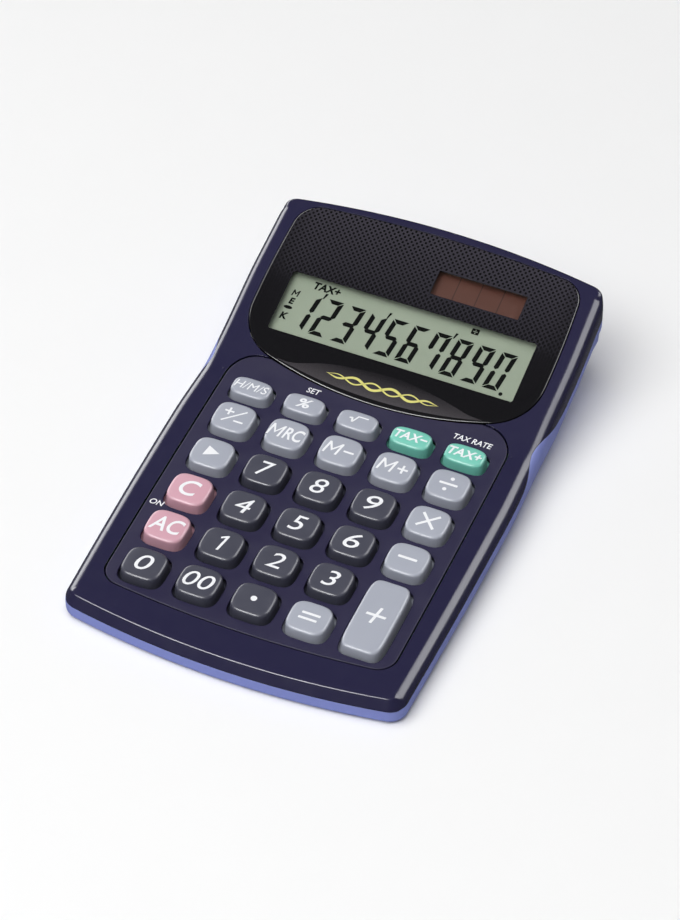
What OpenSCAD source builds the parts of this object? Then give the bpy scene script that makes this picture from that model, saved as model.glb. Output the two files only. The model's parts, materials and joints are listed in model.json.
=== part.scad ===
// Splash-proof desk calculator with a raised, tilted display and 29 keys.
// Millimetres. The origin is on the surface that the feet stand on, under the middle of the case.
// +Y points from the user towards the display, +X to the right, +Z up.

/* [Case] */
// Width across the sides at their widest
case_w = 107.6; // [106:0.2:110]
// Distance from the middle of the key grid to the front edge
front_reach = 53.5; // [52:0.5:58]
// Distance from the middle of the key grid to the rear edge
rear_reach = 115.2; // [114:0.2:120]
// Slope of the key deck against the table
deck_tilt = 3; // [2.5:0.1:3.5]
// Further slope of the display head against the key deck
head_tilt = 14.7; // [13:0.1:15.5]
// Wall thickness of both shells
wall = 3.6; // [3.4:0.1:3.8]
// How far the case is drawn in at its waist
waist_depth = 0.7; // [0.1:0.1:1.2]
// How far the parting line climbs at the waist, where the lower case forms a grip
grip_h = 4; // [1:0.2:4.2]

/* [Keys] */
// Distance between key columns
column_pitch = 17; // [16.8:0.1:17.4]
// Distance between key rows
row_pitch = 15.4; // [15.2:0.1:15.6]
// Width of a key's top face
key_w = 12; // [11:0.1:12.2]
// Depth of a full key's top face
key_d = 11; // [10:0.1:11.2]
// Depth of the short keys' top face
short_key_d = 7; // [6.5:0.1:7.2]
// Height of the key tops above the key panel
key_h = 3; // [2:0.1:4]
// Travel of a key
key_travel = 1.2; // [0.8:0.1:1.2]

/* [Display] */
// Width of the visible display
display_w = 78.6; // [70:0.2:79]
// Height of the visible display
display_h = 21; // [18:0.2:21.4]
// Width of the solar cell's window
solar_w = 28.4; // [20:0.2:29]
// Height of the solar cell's window
solar_h = 8.5; // [6:0.1:8.6]

/* [Hidden] */
KEYS = [
    // name, column, row, size, colour
    ["key_hours", -2, 3, "short", "grey"],
    ["key_percent", -1, 3, "short", "grey"],
    ["key_root", 0, 3, "short", "grey"],
    ["key_tax_minus", 1, 3, "short", "green"],
    ["key_tax_plus", 2, 3, "short", "green"],
    ["key_sign", -2, 2, "full", "grey"],
    ["key_memory_recall", -1, 2, "full", "grey"],
    ["key_memory_minus", 0, 2, "full", "grey"],
    ["key_memory_plus", 1, 2, "full", "grey"],
    ["key_divide", 2, 2, "full", "grey"],
    ["key_backspace", -2, 1, "full", "grey"],
    ["key_7", -1, 1, "full", "dark"],
    ["key_8", 0, 1, "full", "dark"],
    ["key_9", 1, 1, "full", "dark"],
    ["key_multiply", 2, 1, "full", "grey"],
    ["key_clear", -2, 0, "full", "pink"],
    ["key_4", -1, 0, "full", "dark"],
    ["key_5", 0, 0, "full", "dark"],
    ["key_6", 1, 0, "full", "dark"],
    ["key_minus", 2, 0, "full", "grey"],
    ["key_all_clear", -2, -1, "full", "pink"],
    ["key_1", -1, -1, "full", "dark"],
    ["key_2", 0, -1, "full", "dark"],
    ["key_3", 1, -1, "full", "dark"],
    ["key_plus", 2, -1.5, "tall", "grey"],
    ["key_0", -2, -2, "full", "dark"],
    ["key_00", -1, -2, "full", "dark"],
    ["key_point", 0, -2, "full", "dark"],
    ["key_equals", 1, -2, "full", "grey"],
];
SHELLS = [
    "upper_case", "lower_case", "key_panel", "display_window", "window_tape", "lcd_glass",
    "lcd_reflector", "lcd_holder", "lcd_ribbon", "holder_screws", "solar_cell", "solar_tape",
    "rubber_key_sheet", "circuit_board", "processor_blob", "capacitors", "resistors",
    "board_screws", "button_cell", "battery_contact_plus", "battery_contact_minus",
    "battery_leads", "solar_leads", "case_seal", "case_screws", "feet",
];

$fn = 48;
far = 400;

// Plan of the case, seen square to the key deck
side_bow_r = 2200;
side_bow_y = 35;
front_bow_r = 266;
rear_bow_r = 310;
front_corner_r = 5.5;
rear_corner_r = 5.5;
waist_y = 59;
waist_half = 30;
grip_y = 58;
grip_half = 19;
grip_w = 1.9;

// Side view, square to the key deck: z = 0 is the top of the key deck
hinge_y = 51.4;
flank_h = 3.5;
head_flank_y = 68;
band_h = 4.5;
head_band_h = 3.9;
deck_t = 2.4;
head_t = 3;
shoulder_w = 3.9;
shoulder_h = 4.5;
crease = 2.1;
floor_t = 1.4;
underside_y = -49;
foot_h = 0.8;

// Wedge-shaped underside
wedge_half_w = 45.4;
wedge_draft = 25;
wedge_rear_y = 103;
wedge_rear_top_y = 112;

head_slope = tan(head_tilt);
deck_slope = tan(deck_tilt);
rise = foot_h + (flank_h + band_h) * cos(deck_tilt) - underside_y * sin(deck_tilt);
shift = -((rear_reach - front_reach) * cos(deck_tilt) + (flank_h - 2) * sin(deck_tilt)) / 2;

// Key rows
short_row_y = 2 * row_pitch + 12.9;
key_draft = 0.45;
key_clear = 0.4;
key_flange = 0.7;
flange_top = -2.55;
flange_t = 0.6;
plunger_r = 2;

// Key panel
panel_t = 0.8;
panel_half_w = 45;
panel_front = -41.3;
panel_rear = 59.6;

// Display head, measured along the slope from the bend (q) and square to it (n)
lens_front = 2;
lens_rear = 62.6;
lens_half_w = 47;
lens_proud = 0.3;
lens_seat = -1.2;
ledge = -2.2;
display_q = 27.2;
solar_x = 16.3;
solar_q = 47.8;
bezel_tape_t = 0.1;
glass_top = ledge - bezel_tape_t;
glass_t = 2;
glass_w = 84;
glass_front = 13;
glass_rear = 40.2;
holder_t = 3.4;
holder_ear_t = 1;
holder_posts = [[-42, 7.2], [42, 7.2], [-42, 44.2], [42, 44.2]];

// Inside, square to the key deck
flange_bottom = flange_top - flange_t;
dome_h = 0.6;
dome_gap = 0.05;
sheet_top = flange_bottom - key_travel - dome_gap - dome_h;
sheet_t = 0.5;
board_t = 1;
board_half_w = 45.6;
board_front = -41;
board_rear = 56;
board_top = sheet_top - sheet_t;
board_bottom = board_top - board_t;
board_posts = [[-43.6, 18], [43.6, 18], [-43.6, 42], [43.6, 42]];
board_post_r = 1.6;
board_screw_r = 0.9;
board_screw_head_r = 1.6;

// Fasteners
screw_r = 1.1;
screw_head_r = 2.2;
screw_head_t = 1.4;
bore_gap = 0.05;
boss_r = 2.6;
case_screw_at = [[-40, -45.4], [40, -45.4], [-49.1, 2], [49.1, 2], [-37.5, 100.3], [37.5, 100.3]];
lower_boss_r = 3.5;
case_screw_seat = 2.6;

// Feet
foot_r = 4.5;
foot_seat = 0.7;
feet_at = [[-36, -62], [36, -62], [-36, 55], [36, 55]];

// Button cell, standing on the floor of the lower case
cell_x = -25;
cell_y = 46;
cell_r = 5.8;
cell_h = 5.4;
contact_t = 0.3;
floor_z = foot_h + floor_t;

// ---- frames ----

// The key deck's own frame: origin at the middle of the key grid, on the deck's surface
module deck_frame() {
    translate([0, shift, rise]) rotate([deck_tilt, 0, 0]) children();
}

// The display head's own frame: origin on the bend, on the head's surface
module head_frame() {
    deck_frame() translate([0, hinge_y, 0]) rotate([head_tilt, 0, 0]) children();
}

// ---- outlines ----

function arc(c, r, a0, a1, n) = [
    for (i = [0:n]) let (a = a0 + (a1 - a0) * i / n) c + r * [cos(a), sin(a)]
];

// The point at distance ra from a and rb from b, to the left of the line from a to b if side is 1
function meet(a, ra, b, rb, side) =
    let (
        l = norm(b - a),
        u = (b - a) / l,
        k = (l * l + ra * ra - rb * rb) / (2 * l),
        h = sqrt(ra * ra - k * k)
    )
    a + k * u + side * h * [-u[1], u[0]];

function angle_to(a, b) = atan2(b[1] - a[1], b[0] - a[0]);

function mirrored(points) = [
    for (i = [len(points) - 1:-1:0]) [-points[i][0], points[i][1]]
];

// Rectangle with bowed edges and round corners.
// half_w at y = bow_y, front, rear; bow radii [side, front, rear]; corner radii [front, rear]
function bowed(half_w, bow_y, front, rear, bows, corners, inset = 0, n = 10) =
    let (
        side_c = [half_w - bows[0], bow_y],
        front_c = [0, front + bows[1]],
        rear_c = [0, rear - bows[2]],
        r_side = bows[0] - inset,
        r_front = bows[1] - inset,
        r_rear = bows[2] - inset,
        rf = max(corners[0] - inset, 0.5),
        rr = max(corners[1] - inset, 0.5),
        cf = meet(side_c, r_side - rf, front_c, r_front - rf, -1),
        cr = meet(side_c, r_side - rr, rear_c, r_rear - rr, 1),
        a_front = angle_to(front_c, cf),
        a_side_f = angle_to(side_c, cf),
        a_side_r = angle_to(side_c, cr),
        a_rear = angle_to(rear_c, cr),
        half = concat(
            arc(front_c, r_front, -90, a_front, n),
            arc(cf, rf, a_front, a_side_f, n),
            [for (i = [1:3 * n - 1])
                let (a = a_side_f + (a_side_r - a_side_f) * i / (3 * n))
                side_c + r_side * [cos(a), sin(a)]],
            arc(cr, rr, a_side_r, a_rear, n),
            [for (i = [1:n])
                let (a = a_rear + (90 - a_rear) * i / n)
                rear_c + r_rear * [cos(a), sin(a)]]
        )
    )
    half;

// Drop points that repeat, so that the outline has no edges of no length
function tidy(points) = [
    for (i = [0:len(points) - 1])
        if (norm(points[i] - points[(i + 1) % len(points)]) > 0.01) points[i]
];

function closed(half) = tidy(concat(half, mirrored(half)));

function waist(y) =
    let (t = (y - waist_y) / waist_half)
    abs(t) < 1 ? waist_depth * (1 - t * t) * (1 - t * t) : 0;

// Climb of the parting line at the grips
function grip(y) =
    let (t = (y - grip_y) / grip_half)
    abs(t) < 1 ? grip_h * (1 + cos(180 * t)) / 2 : 0;

function case_half(inset) = bowed(
    case_w / 2, side_bow_y, -front_reach, rear_reach,
    [side_bow_r, front_bow_r, rear_bow_r], [front_corner_r, rear_corner_r], inset, 8
);

function case_outline(inset) = closed([
    for (p = case_half(inset))
        p[0] > 40 ? [p[0] - waist(p[1]), p[1]] : p
]);

function lens_outline(inset = 0) = closed(bowed(
    lens_half_w, 30, lens_front, lens_rear, [300, 120, 420], [17, 8], inset, 8
));

function panel_outline(inset = 0) = closed(bowed(
    panel_half_w, 5, panel_front, panel_rear, [4000, 330, 330], [6, 9], inset, 6
));

// Rounded rectangle with bulging sides, as on the key tops
function squircle(w, d, power = 4.5, n = 36) = [
    for (i = [0:n - 1])
        let (
            a = 360 * i / n,
            c = cos(a),
            s = sin(a),
            k = pow(pow(abs(c), power) + pow(abs(s), power), -1 / power)
        )
        [w / 2 * k * c, d / 2 * k * s]
];

// ---- side view ----

// Surface of the deck and the head, lowered by drop in the deck and by head_drop in the head
function head_z(y, drop) = (y - hinge_y) * head_slope - drop;
function top_line(drop, head_drop) =
    let (y_bend = hinge_y + (head_drop / cos(head_tilt) - drop) / head_slope)
    [[-far / 2, -drop], [y_bend, -drop], [far / 2, head_z(far / 2, head_drop / cos(head_tilt))]];

// Height of the parting surface at y
function parting_z(y) = -flank_h + max(0, y - head_flank_y) * head_slope;

// Parting line, lowered by drop
function parting_line(drop = 0) = [
    [-far / 2, -flank_h - drop],
    [head_flank_y, -flank_h - drop],
    [far / 2, -flank_h - drop + (far / 2 - head_flank_y) * head_slope]
];

// Side view of one grip: from below the parting line up to its climbing edge
function grip_profile(depth) = concat(
    [[grip_y - grip_half, parting_z(grip_y - grip_half) - depth]],
    [for (i = [1:15]) let (y = grip_y - grip_half + i * grip_half / 8) [y, parting_z(y) + grip(y)]],
    [[grip_y + grip_half, parting_z(grip_y + grip_half) - depth]]
);

function band_line(rise_by = 0) = [
    [-far / 2, -flank_h - band_h + rise_by],
    [head_flank_y, -flank_h - band_h + rise_by],
    [head_flank_y + 12, -flank_h - head_band_h + 12 * head_slope + rise_by],
    [far / 2, -flank_h - head_band_h + (far / 2 - head_flank_y) * head_slope + rise_by]
];

function reversed(points) = [for (i = [len(points) - 1:-1:0]) points[i]];

// Slab between two lines of the side view
module slab(low, high, w = far) {
    rotate([90, 0, 90]) linear_extrude(w, center = true) polygon(concat(low, reversed(high)));
}

// Prism square to the deck, over an outline
module prism(points, z0 = -far / 4, z1 = far / 4) {
    translate([0, 0, z0]) linear_extrude(z1 - z0) polygon(points);
}

module at(places, z = 0) {
    for (p = places) translate([p[0], p[1], z]) children();
}

// ---- keys ----

function key_y(row) = row == 3 ? short_row_y : row * row_pitch;
function key_depth(size) = size == "short" ? short_key_d : size == "tall" ? key_d + row_pitch : key_d;
function key_power(size) = size == "tall" ? 7 : 4.5;
function key_colour(name) =
    name == "green" ? [0.50, 0.80, 0.73] :
    name == "pink" ? [0.82, 0.66, 0.71] :
    name == "dark" ? [0.29, 0.29, 0.35] : [0.68, 0.69, 0.74];

module key_outline(size, grow) {
    polygon(squircle(key_w + 2 * grow, key_depth(size) + 2 * grow, key_power(size)));
}

module key_layer(size, grow, z0, z1) {
    translate([0, 0, z0]) linear_extrude(z1 - z0) key_outline(size, grow);
}

// One key: cap, flange that holds it under the deck, and a plunger over its dome
module key(k) {
    size = k[3];
    shell = 1.2;
    rib_t = 1.2;
    color(key_colour(k[4])) deck_frame() translate([k[1] * column_pitch, key_y(k[2]), 0]) {
        difference() {
            union() {
                key_layer(size, 0, key_h - 1, key_h);
                key_layer(size, key_draft * 0.4, key_h - 1.8, key_h - 1);
                key_layer(size, key_draft, flange_bottom, key_h - 1.8);
                key_layer(size, key_draft + key_clear + key_flange, flange_bottom, flange_top);
            }
            key_layer(size, key_draft - shell, flange_bottom - 1, key_h - 1.4);
        }
        translate([0, 0, flange_bottom]) cylinder(h = key_h - 1.2 - flange_bottom, r = plunger_r);
        if (size == "tall")
            translate([-key_w / 2 + 0.5, -rib_t / 2, flange_bottom + 0.6])
                cube([key_w - 1, rib_t, key_h - 1.8 - flange_bottom]);
    }
}

module key_holes(extra) {
    for (k = KEYS)
        translate([k[1] * column_pitch, key_y(k[2]), -far / 4])
            linear_extrude(far / 2) key_outline(k[3], key_draft + key_clear + extra);
}

// ---- shells ----

// What a round shoulder takes off on both sides of one straight, endless slab
module shoulder_cut() {
    edge = case_w / 2 + 0.1;
    rotate([90, 0, 0]) linear_extrude(far, center = true) for (side = [0, 1]) mirror([side, 0])
        polygon(concat(
            [[edge + 5, -shoulder_h], [edge + 5, 3 * far], [edge - shoulder_w, 3 * far]],
            [for (i = [0:6]) let (a = 90 - i * 15) [
                edge - shoulder_w + shoulder_w * cos(a),
                -shoulder_h + shoulder_h * sin(a)
            ]]
        ));
}

// The deck and the head keep their own shoulders up to the bend
module shoulder_cuts() {
    intersection() {
        shoulder_cut();
        translate([0, hinge_y, 0]) rotate([head_tilt, 0, 0]) shoulder_cut();
    }
}

// Outer skin of the case at the grips, down to depth below the parting line
module grip_skin(depth, thickness) {
    difference() {
        rotate([90, 0, 90]) linear_extrude(far, center = true) polygon(grip_profile(depth));
        prism(case_outline(thickness));
    }
}

module upper_case() {
    color([0.18, 0.17, 0.29]) difference() {
        union() {
            deck_frame() difference() {
                intersection() {
                    prism(case_outline(0));
                    slab(parting_line(), top_line(0, 0));
                }
                front_slope_cut();
                shoulder_cuts();
                intersection() {
                    prism(case_outline(wall));
                    slab(parting_line(5), top_line(deck_t, head_t));
                }
                grip_skin(5, grip_w + 0.1);
            }
            deck_frame() {
                case_bosses();
                board_post_solids();
            }
            head_frame() at(holder_posts, -head_t - holder_t + holder_ear_t)
                cylinder(h = holder_t - holder_ear_t + 0.4, r = 2.2);
        }
        deck_frame() {
            panel_recess();
            key_holes(0);
            for (p = case_screw_at)
                translate([p[0], p[1], parting_z(p[1]) - 1]) cylinder(h = 1 + 2.6, r = screw_r + bore_gap);
            at(board_posts, board_top - 1) cylinder(h = 1 + 3.4, r = board_screw_r + bore_gap);
        }
        head_frame() {
            prism(lens_outline(-0.12), lens_seat, 20);
            display_openings();
            translate([-glass_w / 2 - 0.3, glass_front - 0.3, -head_t - 1])
                cube([glass_w + 0.6, glass_rear - glass_front + 0.6, head_t + 1 + ledge]);
            translate([solar_x - solar_w / 2 - 2, solar_q - solar_h / 2 - 1.4, -head_t - 1])
                cube([solar_w + 4, solar_h + 2.8, head_t + 1 + ledge]);
            at(holder_posts, -head_t - 4) cylinder(h = 4.6, r = screw_r + bore_gap);
        }
    }
}

// What lets the display and the solar cell show through
module display_openings() {
    translate([0, display_q, 0]) cube([display_w + 1, display_h + 1, 20], center = true);
    translate([solar_x, solar_q, 0]) cube([solar_w + 1, solar_h + 1, 20], center = true);
}

module case_bosses() {
    intersection() {
        at(case_screw_at, -far / 8) cylinder(h = far / 4, r = boss_r);
        slab(parting_line(), top_line(deck_t - 0.4, head_t - 0.4));
        prism(case_outline(0.6));
    }
}

module board_post_solids() {
    at(board_posts, board_top) cylinder(h = -deck_t + 0.3 - board_top, r = board_post_r);
}

// The front edge slopes down and out from a crease to the parting line
module front_slope_cut() {
    translate([0, front_bow_r - front_reach, 0]) difference() {
        translate([-far / 2, -far, -flank_h]) cube([far, far - 60, flank_h + 1]);
        translate([0, 0, -flank_h - 1])
            cylinder(
                h = flank_h + 3,
                r1 = front_bow_r + crease / flank_h,
                r2 = front_bow_r - crease * (flank_h + 2) / flank_h,
                $fn = 180
            );
    }
}

module panel_recess() {
    intersection() {
        prism(panel_outline(-0.15));
        slab(top_line(panel_t, panel_t), top_line(-5, -5));
    }
}

module key_panel() {
    color([0.25, 0.24, 0.34]) difference() {
        deck_frame() difference() {
            intersection() {
                prism(panel_outline(0.15));
                slab(top_line(panel_t, panel_t), top_line(0, 0));
            }
            key_holes(0.1);
        }
        head_frame() prism(lens_outline(-0.3), -5, 5);
    }
}

// Band of the lower case below the parting line, without the wedge
module band_solid() {
    difference() {
        union() {
            intersection() {
                prism(case_outline(0));
                slab(band_line(), parting_line());
            }
            intersection() {
                prism(case_outline(0));
                grip_skin(1, grip_w);
            }
        }
        shoulder_cuts();
    }
}

// Side profile of the wedge, grown inwards by skin
function wedge_profile(skin) =
    let (
        y0 = underside_y + (skin > 0 ? 4 : 0),
        z0 = -flank_h - band_h + skin,
        z1 = z0 - (wedge_rear_y - underside_y) * deck_slope
    )
    [
        [y0, z0 - (y0 - underside_y) * deck_slope],
        [wedge_rear_y - skin, z1 + skin * deck_slope],
        [wedge_rear_top_y - skin, skin > 0 ? 30 : parting_z(wedge_rear_top_y) - head_band_h + 1],
        [head_flank_y + 12, skin > 0 ? 30 : parting_z(head_flank_y + 12) - head_band_h + 1],
        [head_flank_y, skin > 0 ? 30 : -flank_h - band_h + 1],
        [y0, skin > 0 ? 30 : -flank_h - band_h + 1]
    ];

module wedge(skin) {
    half = wedge_half_w - skin;
    top = 45;
    intersection() {
        deck_frame() prism(case_outline(0.5 + skin));
        deck_frame() rotate([90, 0, 90]) linear_extrude(far, center = true) polygon(wedge_profile(skin));
        translate([0, far / 2, foot_h]) rotate([90, 0, 0]) linear_extrude(far)
            polygon([
                [-half, -5], [half, -5], [half, 0],
                [half + top * tan(wedge_draft), top], [-half - top * tan(wedge_draft), top], [-half, 0]
            ]);
    }
}

module lower_case() {
    color([0.50, 0.55, 0.80]) difference() {
        union() {
            difference() {
                union() {
                    deck_frame() band_solid();
                    wedge(0);
                }
                deck_frame() intersection() {
                    prism(case_outline(wall));
                    slab(band_line(floor_t), parting_line(-5));
                }
                intersection() {
                    wedge(floor_t);
                    deck_frame() prism(case_outline(wall));
                }
            }
            lower_bosses();
            cell_pocket();
        }
        deck_frame() {
            seal_ring(2.2, 2.9, 0.8, 5);
            for (p = case_screw_at) {
                translate([p[0], p[1], -far / 8]) cylinder(h = far / 4, r = screw_r + bore_gap);
                translate([p[0], p[1], parting_z(p[1]) - case_screw_seat - 40])
                    cylinder(h = 40, r = screw_head_r + 0.3);
            }
        }
        at(feet_at) cylinder(h = foot_h + foot_seat, r = foot_r + 0.1);
    }
}

module lower_bosses() {
    intersection() {
        deck_frame() intersection() {
            at(case_screw_at, -far / 8) cylinder(h = far / 4, r = lower_boss_r);
            slab(parting_line(40), parting_line());
            prism(case_outline(0.6));
        }
        union() {
            deck_frame() intersection() {
                prism(case_outline(0.6));
                slab(band_line(), parting_line());
            }
            wedge(0);
        }
    }
}

// Ring wall that keeps the button cell in place
module cell_pocket() {
    translate([cell_x, cell_y, floor_z - 0.3]) difference() {
        cylinder(h = 4.3, r = cell_r + 1.5);
        translate([0, 0, 0.3]) cylinder(h = 5, r = cell_r + 0.3);
        translate([-2.2, -cell_r - 3, 0.3]) cube([4.4, 2 * cell_r + 6, 5]);
    }
}

// Ring that follows the rim of the case, between two insets, in the parting surface
module seal_ring(inset0, inset1, depth, above) {
    difference() {
        intersection() {
            prism(case_outline(inset0));
            slab(parting_line(depth), parting_line(-above));
        }
        prism(case_outline(inset1));
    }
}

module case_seal() {
    color([0.12, 0.12, 0.13]) deck_frame() seal_ring(2.25, 2.85, 0.75, 0);
}

module case_screws() {
    color([0.75, 0.75, 0.76]) deck_frame() for (p = case_screw_at)
        translate([p[0], p[1], parting_z(p[1]) - case_screw_seat]) {
            cylinder(h = case_screw_seat + 2.3, r = screw_r);
            cross_head();
        }
}

// Round screw head below z = 0 with a cross recess
module cross_head(head_r = screw_head_r) {
    slot = 1.1 * head_r;
    difference() {
        translate([0, 0, -screw_head_t]) cylinder(h = screw_head_t, r = head_r);
        for (a = [0, 90]) rotate([0, 0, a])
            translate([-slot / 2, -0.25, -screw_head_t - 1]) cube([slot, 0.5, 1.7]);
    }
}

module feet() {
    color([0.1, 0.1, 0.11]) at(feet_at) {
        translate([0, 0, 0.3]) cylinder(h = foot_h + foot_seat - 0.3, r = foot_r);
        cylinder(h = 0.3, r1 = foot_r - 0.3, r2 = foot_r);
    }
}

// ---- display ----

module display_window() {
    color([0.08, 0.08, 0.10]) head_frame() prism(lens_outline(0), lens_seat + 0.2, lens_proud);
}

module window_tape() {
    color([0.15, 0.15, 0.15]) head_frame() difference() {
        prism(lens_outline(1), lens_seat, lens_seat + 0.2);
        display_openings();
    }
}

// Two glass plates: the front one reaches further down, for the contacts
module lcd_glass() {
    color([0.60, 0.65, 0.58]) head_frame() {
        translate([-glass_w / 2, glass_front, glass_top - glass_t / 2])
            cube([glass_w, glass_rear - glass_front, glass_t / 2]);
        translate([-glass_w / 2, glass_front + 2.6, glass_top - glass_t])
            cube([glass_w, glass_rear - glass_front - 2.6, glass_t / 2]);
    }
}

module lcd_reflector() {
    color([0.80, 0.82, 0.80]) head_frame()
        translate([-glass_w / 2 + 0.5, glass_front + 2.8, glass_top - glass_t - 0.2])
            cube([glass_w - 1, glass_rear - glass_front - 3, 0.2]);
}

module lcd_holder() {
    outer_w = glass_w + 5;
    front = glass_front - 2.6;
    rear = glass_rear + 1.6;
    bottom = -head_t - holder_t;
    pocket_bottom = glass_top - glass_t - 0.2;
    color([0.86, 0.86, 0.84]) head_frame() difference() {
        union() {
            translate([-outer_w / 2, front, bottom]) cube([outer_w, rear - front, holder_t]);
            for (p = holder_posts) hull() {
                translate([p[0], p[1], bottom]) cylinder(h = holder_ear_t, r = 2.6, $fn = 32);
                translate([p[0] * 0.93, p[1] < display_q ? front + 1 : rear - 1, bottom])
                    cylinder(h = holder_ear_t, r = 2.6, $fn = 32);
            }
        }
        translate([-glass_w / 2 - 0.1, glass_front - 0.1, pocket_bottom])
            cube([glass_w + 0.2, glass_rear - glass_front + 0.2, 20]);
        translate([-glass_w / 2 + 4, glass_front + 5, bottom - 1])
            cube([glass_w - 8, glass_rear - glass_front - 10, 20]);
        translate([-31, front - 1, -head_t - 2.2]) cube([62, 4, 1.9]);
        at(holder_posts, bottom - 1) cylinder(h = 3, r = screw_r + bore_gap);
    }
}

module holder_screws() {
    bottom = -head_t - holder_t;
    color([0.75, 0.75, 0.76]) head_frame() at(holder_posts, bottom) {
        cylinder(h = 4, r = screw_r);
        cross_head();
    }
}

// A point of the head's frame, as [y, z] of the deck's frame
function head_point(q, n) = [
    hinge_y + q * cos(head_tilt) - n * sin(head_tilt),
    q * sin(head_tilt) + n * cos(head_tilt)
];

// Flat ribbon from the contacts of the glass to the board, bonded at both ends
module lcd_ribbon() {
    film = 0.15;
    under_glass = glass_top - glass_t / 2;
    path = [
        head_point(glass_front + 2.4, under_glass - film / 2 - 0.01),
        head_point(glass_front + 0.4, under_glass - film / 2 - 0.01),
        head_point(glass_front - 3, under_glass - 0.6),
        [board_rear + 4, board_top + 1.2],
        [board_rear - 0.6, board_top + film / 2 + 0.01],
        [board_rear - 3.4, board_top + film / 2 + 0.01]
    ];
    edge = concat(
        [for (i = [0:5]) path[i] + film / 2 * path_normal(path, i)],
        [for (i = [5:-1:0]) path[i] - film / 2 * path_normal(path, i)]
    );
    color([0.75, 0.55, 0.25]) deck_frame() rotate([90, 0, 90])
        linear_extrude(60, center = true) polygon(edge);
}

function path_normal(path, i) =
    let (
        a = path[max(i - 1, 0)],
        b = path[min(i + 1, len(path) - 1)],
        d = (b - a) / norm(b - a)
    )
    [-d[1], d[0]];

module solar_cell() {
    color([0.37, 0.24, 0.20]) head_frame()
        translate([solar_x - solar_w / 2 - 1.8, solar_q - solar_h / 2 - 1.2, glass_top - 1.1])
            cube([solar_w + 3.6, solar_h + 2.4, 1.1]);
}

module solar_tape() {
    color([0.15, 0.15, 0.15]) head_frame() difference() {
        translate([solar_x - solar_w / 2 - 1.8, solar_q - solar_h / 2 - 1.2, glass_top])
            cube([solar_w + 3.6, solar_h + 2.4, bezel_tape_t]);
        translate([solar_x, solar_q, glass_top]) cube([solar_w + 1, solar_h + 1, 5], center = true);
    }
}

// ---- inside ----

module rubber_key_sheet() {
    front = board_front + 1;
    rear = short_row_y + short_key_d / 2 + 1.2;
    half = 41.7;
    color([0.80, 0.80, 0.78]) deck_frame() {
        difference() {
            union() {
                translate([-half, front, sheet_top - sheet_t]) cube([2 * half, rear - front, sheet_t]);
                for (k = KEYS)
                    translate([k[1] * column_pitch, key_y(k[2]), sheet_top - 0.1])
                        cylinder(h = dome_h + 0.1, r1 = 3.2, r2 = plunger_r);
            }
            for (k = KEYS)
                translate([k[1] * column_pitch, key_y(k[2]), sheet_top - sheet_t - 1])
                    cylinder(h = 1 + 0.75, r = 2.2);
        }
    }
}

module circuit_board() {
    color([0.12, 0.38, 0.22]) deck_frame() difference() {
        translate([-board_half_w, board_front, board_bottom])
            cube([2 * board_half_w, board_rear - board_front, board_t]);
        at(board_posts, board_bottom - 1) cylinder(h = 3, r = board_screw_r + bore_gap);
        at(case_screw_at, board_bottom - 1) cylinder(h = 3, r = lower_boss_r + 0.4);
    }
}

module board_screws() {
    color([0.75, 0.75, 0.76]) deck_frame() at(board_posts, board_bottom) {
        cylinder(h = board_t + 2.8, r = board_screw_r);
        cross_head(board_screw_head_r);
    }
}

// Potted processor: a low round blob under the board
module processor_blob() {
    blob_r = 6;
    blob_h = 1.4;
    sphere_r = (blob_r * blob_r + blob_h * blob_h) / (2 * blob_h);
    color([0.08, 0.08, 0.08]) deck_frame() translate([0, 30, board_bottom]) intersection() {
        translate([0, 0, sphere_r - blob_h]) sphere(r = sphere_r, $fn = 96);
        translate([0, 0, -5]) cylinder(h = 5, r = blob_r + 1);
    }
}

module capacitors() {
    color([0.16, 0.20, 0.42]) deck_frame() for (x = [16, 23])
        translate([x, 40, board_bottom - 2.05]) rotate([-90, 0, 0]) {
            cylinder(h = 7, r = 2);
            translate([0, 0, 7]) cylinder(h = 0.5, r = 1.5);
        }
}

module resistors() {
    color([0.75, 0.66, 0.50]) deck_frame() for (x = [-22, -17, -12])
        translate([x, 41, board_bottom - 0.85]) rotate([-90, 0, 0]) {
            cylinder(h = 4.4, r = 0.8);
            translate([0, 0, -1.2]) cylinder(h = 6.8, r = 0.25);
        }
}

module button_cell() {
    color([0.82, 0.82, 0.83]) translate([cell_x, cell_y, floor_z + contact_t]) {
        translate([0, 0, 0.7]) cylinder(h = cell_h - 0.7, r = cell_r);
        cylinder(h = 0.7, r = cell_r - 0.7);
    }
}

// Spring strips: one under the cell, one over it with a leg down to the floor
module battery_contact_minus() {
    color([0.85, 0.75, 0.45]) translate([cell_x, cell_y, floor_z])
        translate([-2, -cell_r + 1, 0]) cube([4, 2 * cell_r + 1, contact_t]);
}

module battery_contact_plus() {
    top = floor_z + contact_t + cell_h;
    color([0.85, 0.75, 0.45]) translate([cell_x, cell_y, 0]) {
        translate([-2, -cell_r - 0.9, top]) cube([4, 2 * cell_r, contact_t]);
        translate([-2, -cell_r - 0.9, floor_z]) cube([4, contact_t, top - floor_z + contact_t]);
    }
}

// Catmull-Rom curve through the points, so that a wire bends gently
function curve_point(p, i, t) =
    let (
        p0 = p[max(i - 1, 0)], p1 = p[i], p2 = p[i + 1], p3 = p[min(i + 2, len(p) - 1)]
    )
    0.5 * (2 * p1 + (p2 - p0) * t + (2 * p0 - 5 * p1 + 4 * p2 - p3) * t * t
        + (3 * p1 - p0 - 3 * p2 + p3) * t * t * t);
function curve(p, steps) = concat(
    [for (i = [0:len(p) - 2], s = [0:steps - 1]) curve_point(p, i, s / steps)],
    [p[len(p) - 1]]
);
function unit(v) = v / norm(v);

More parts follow.
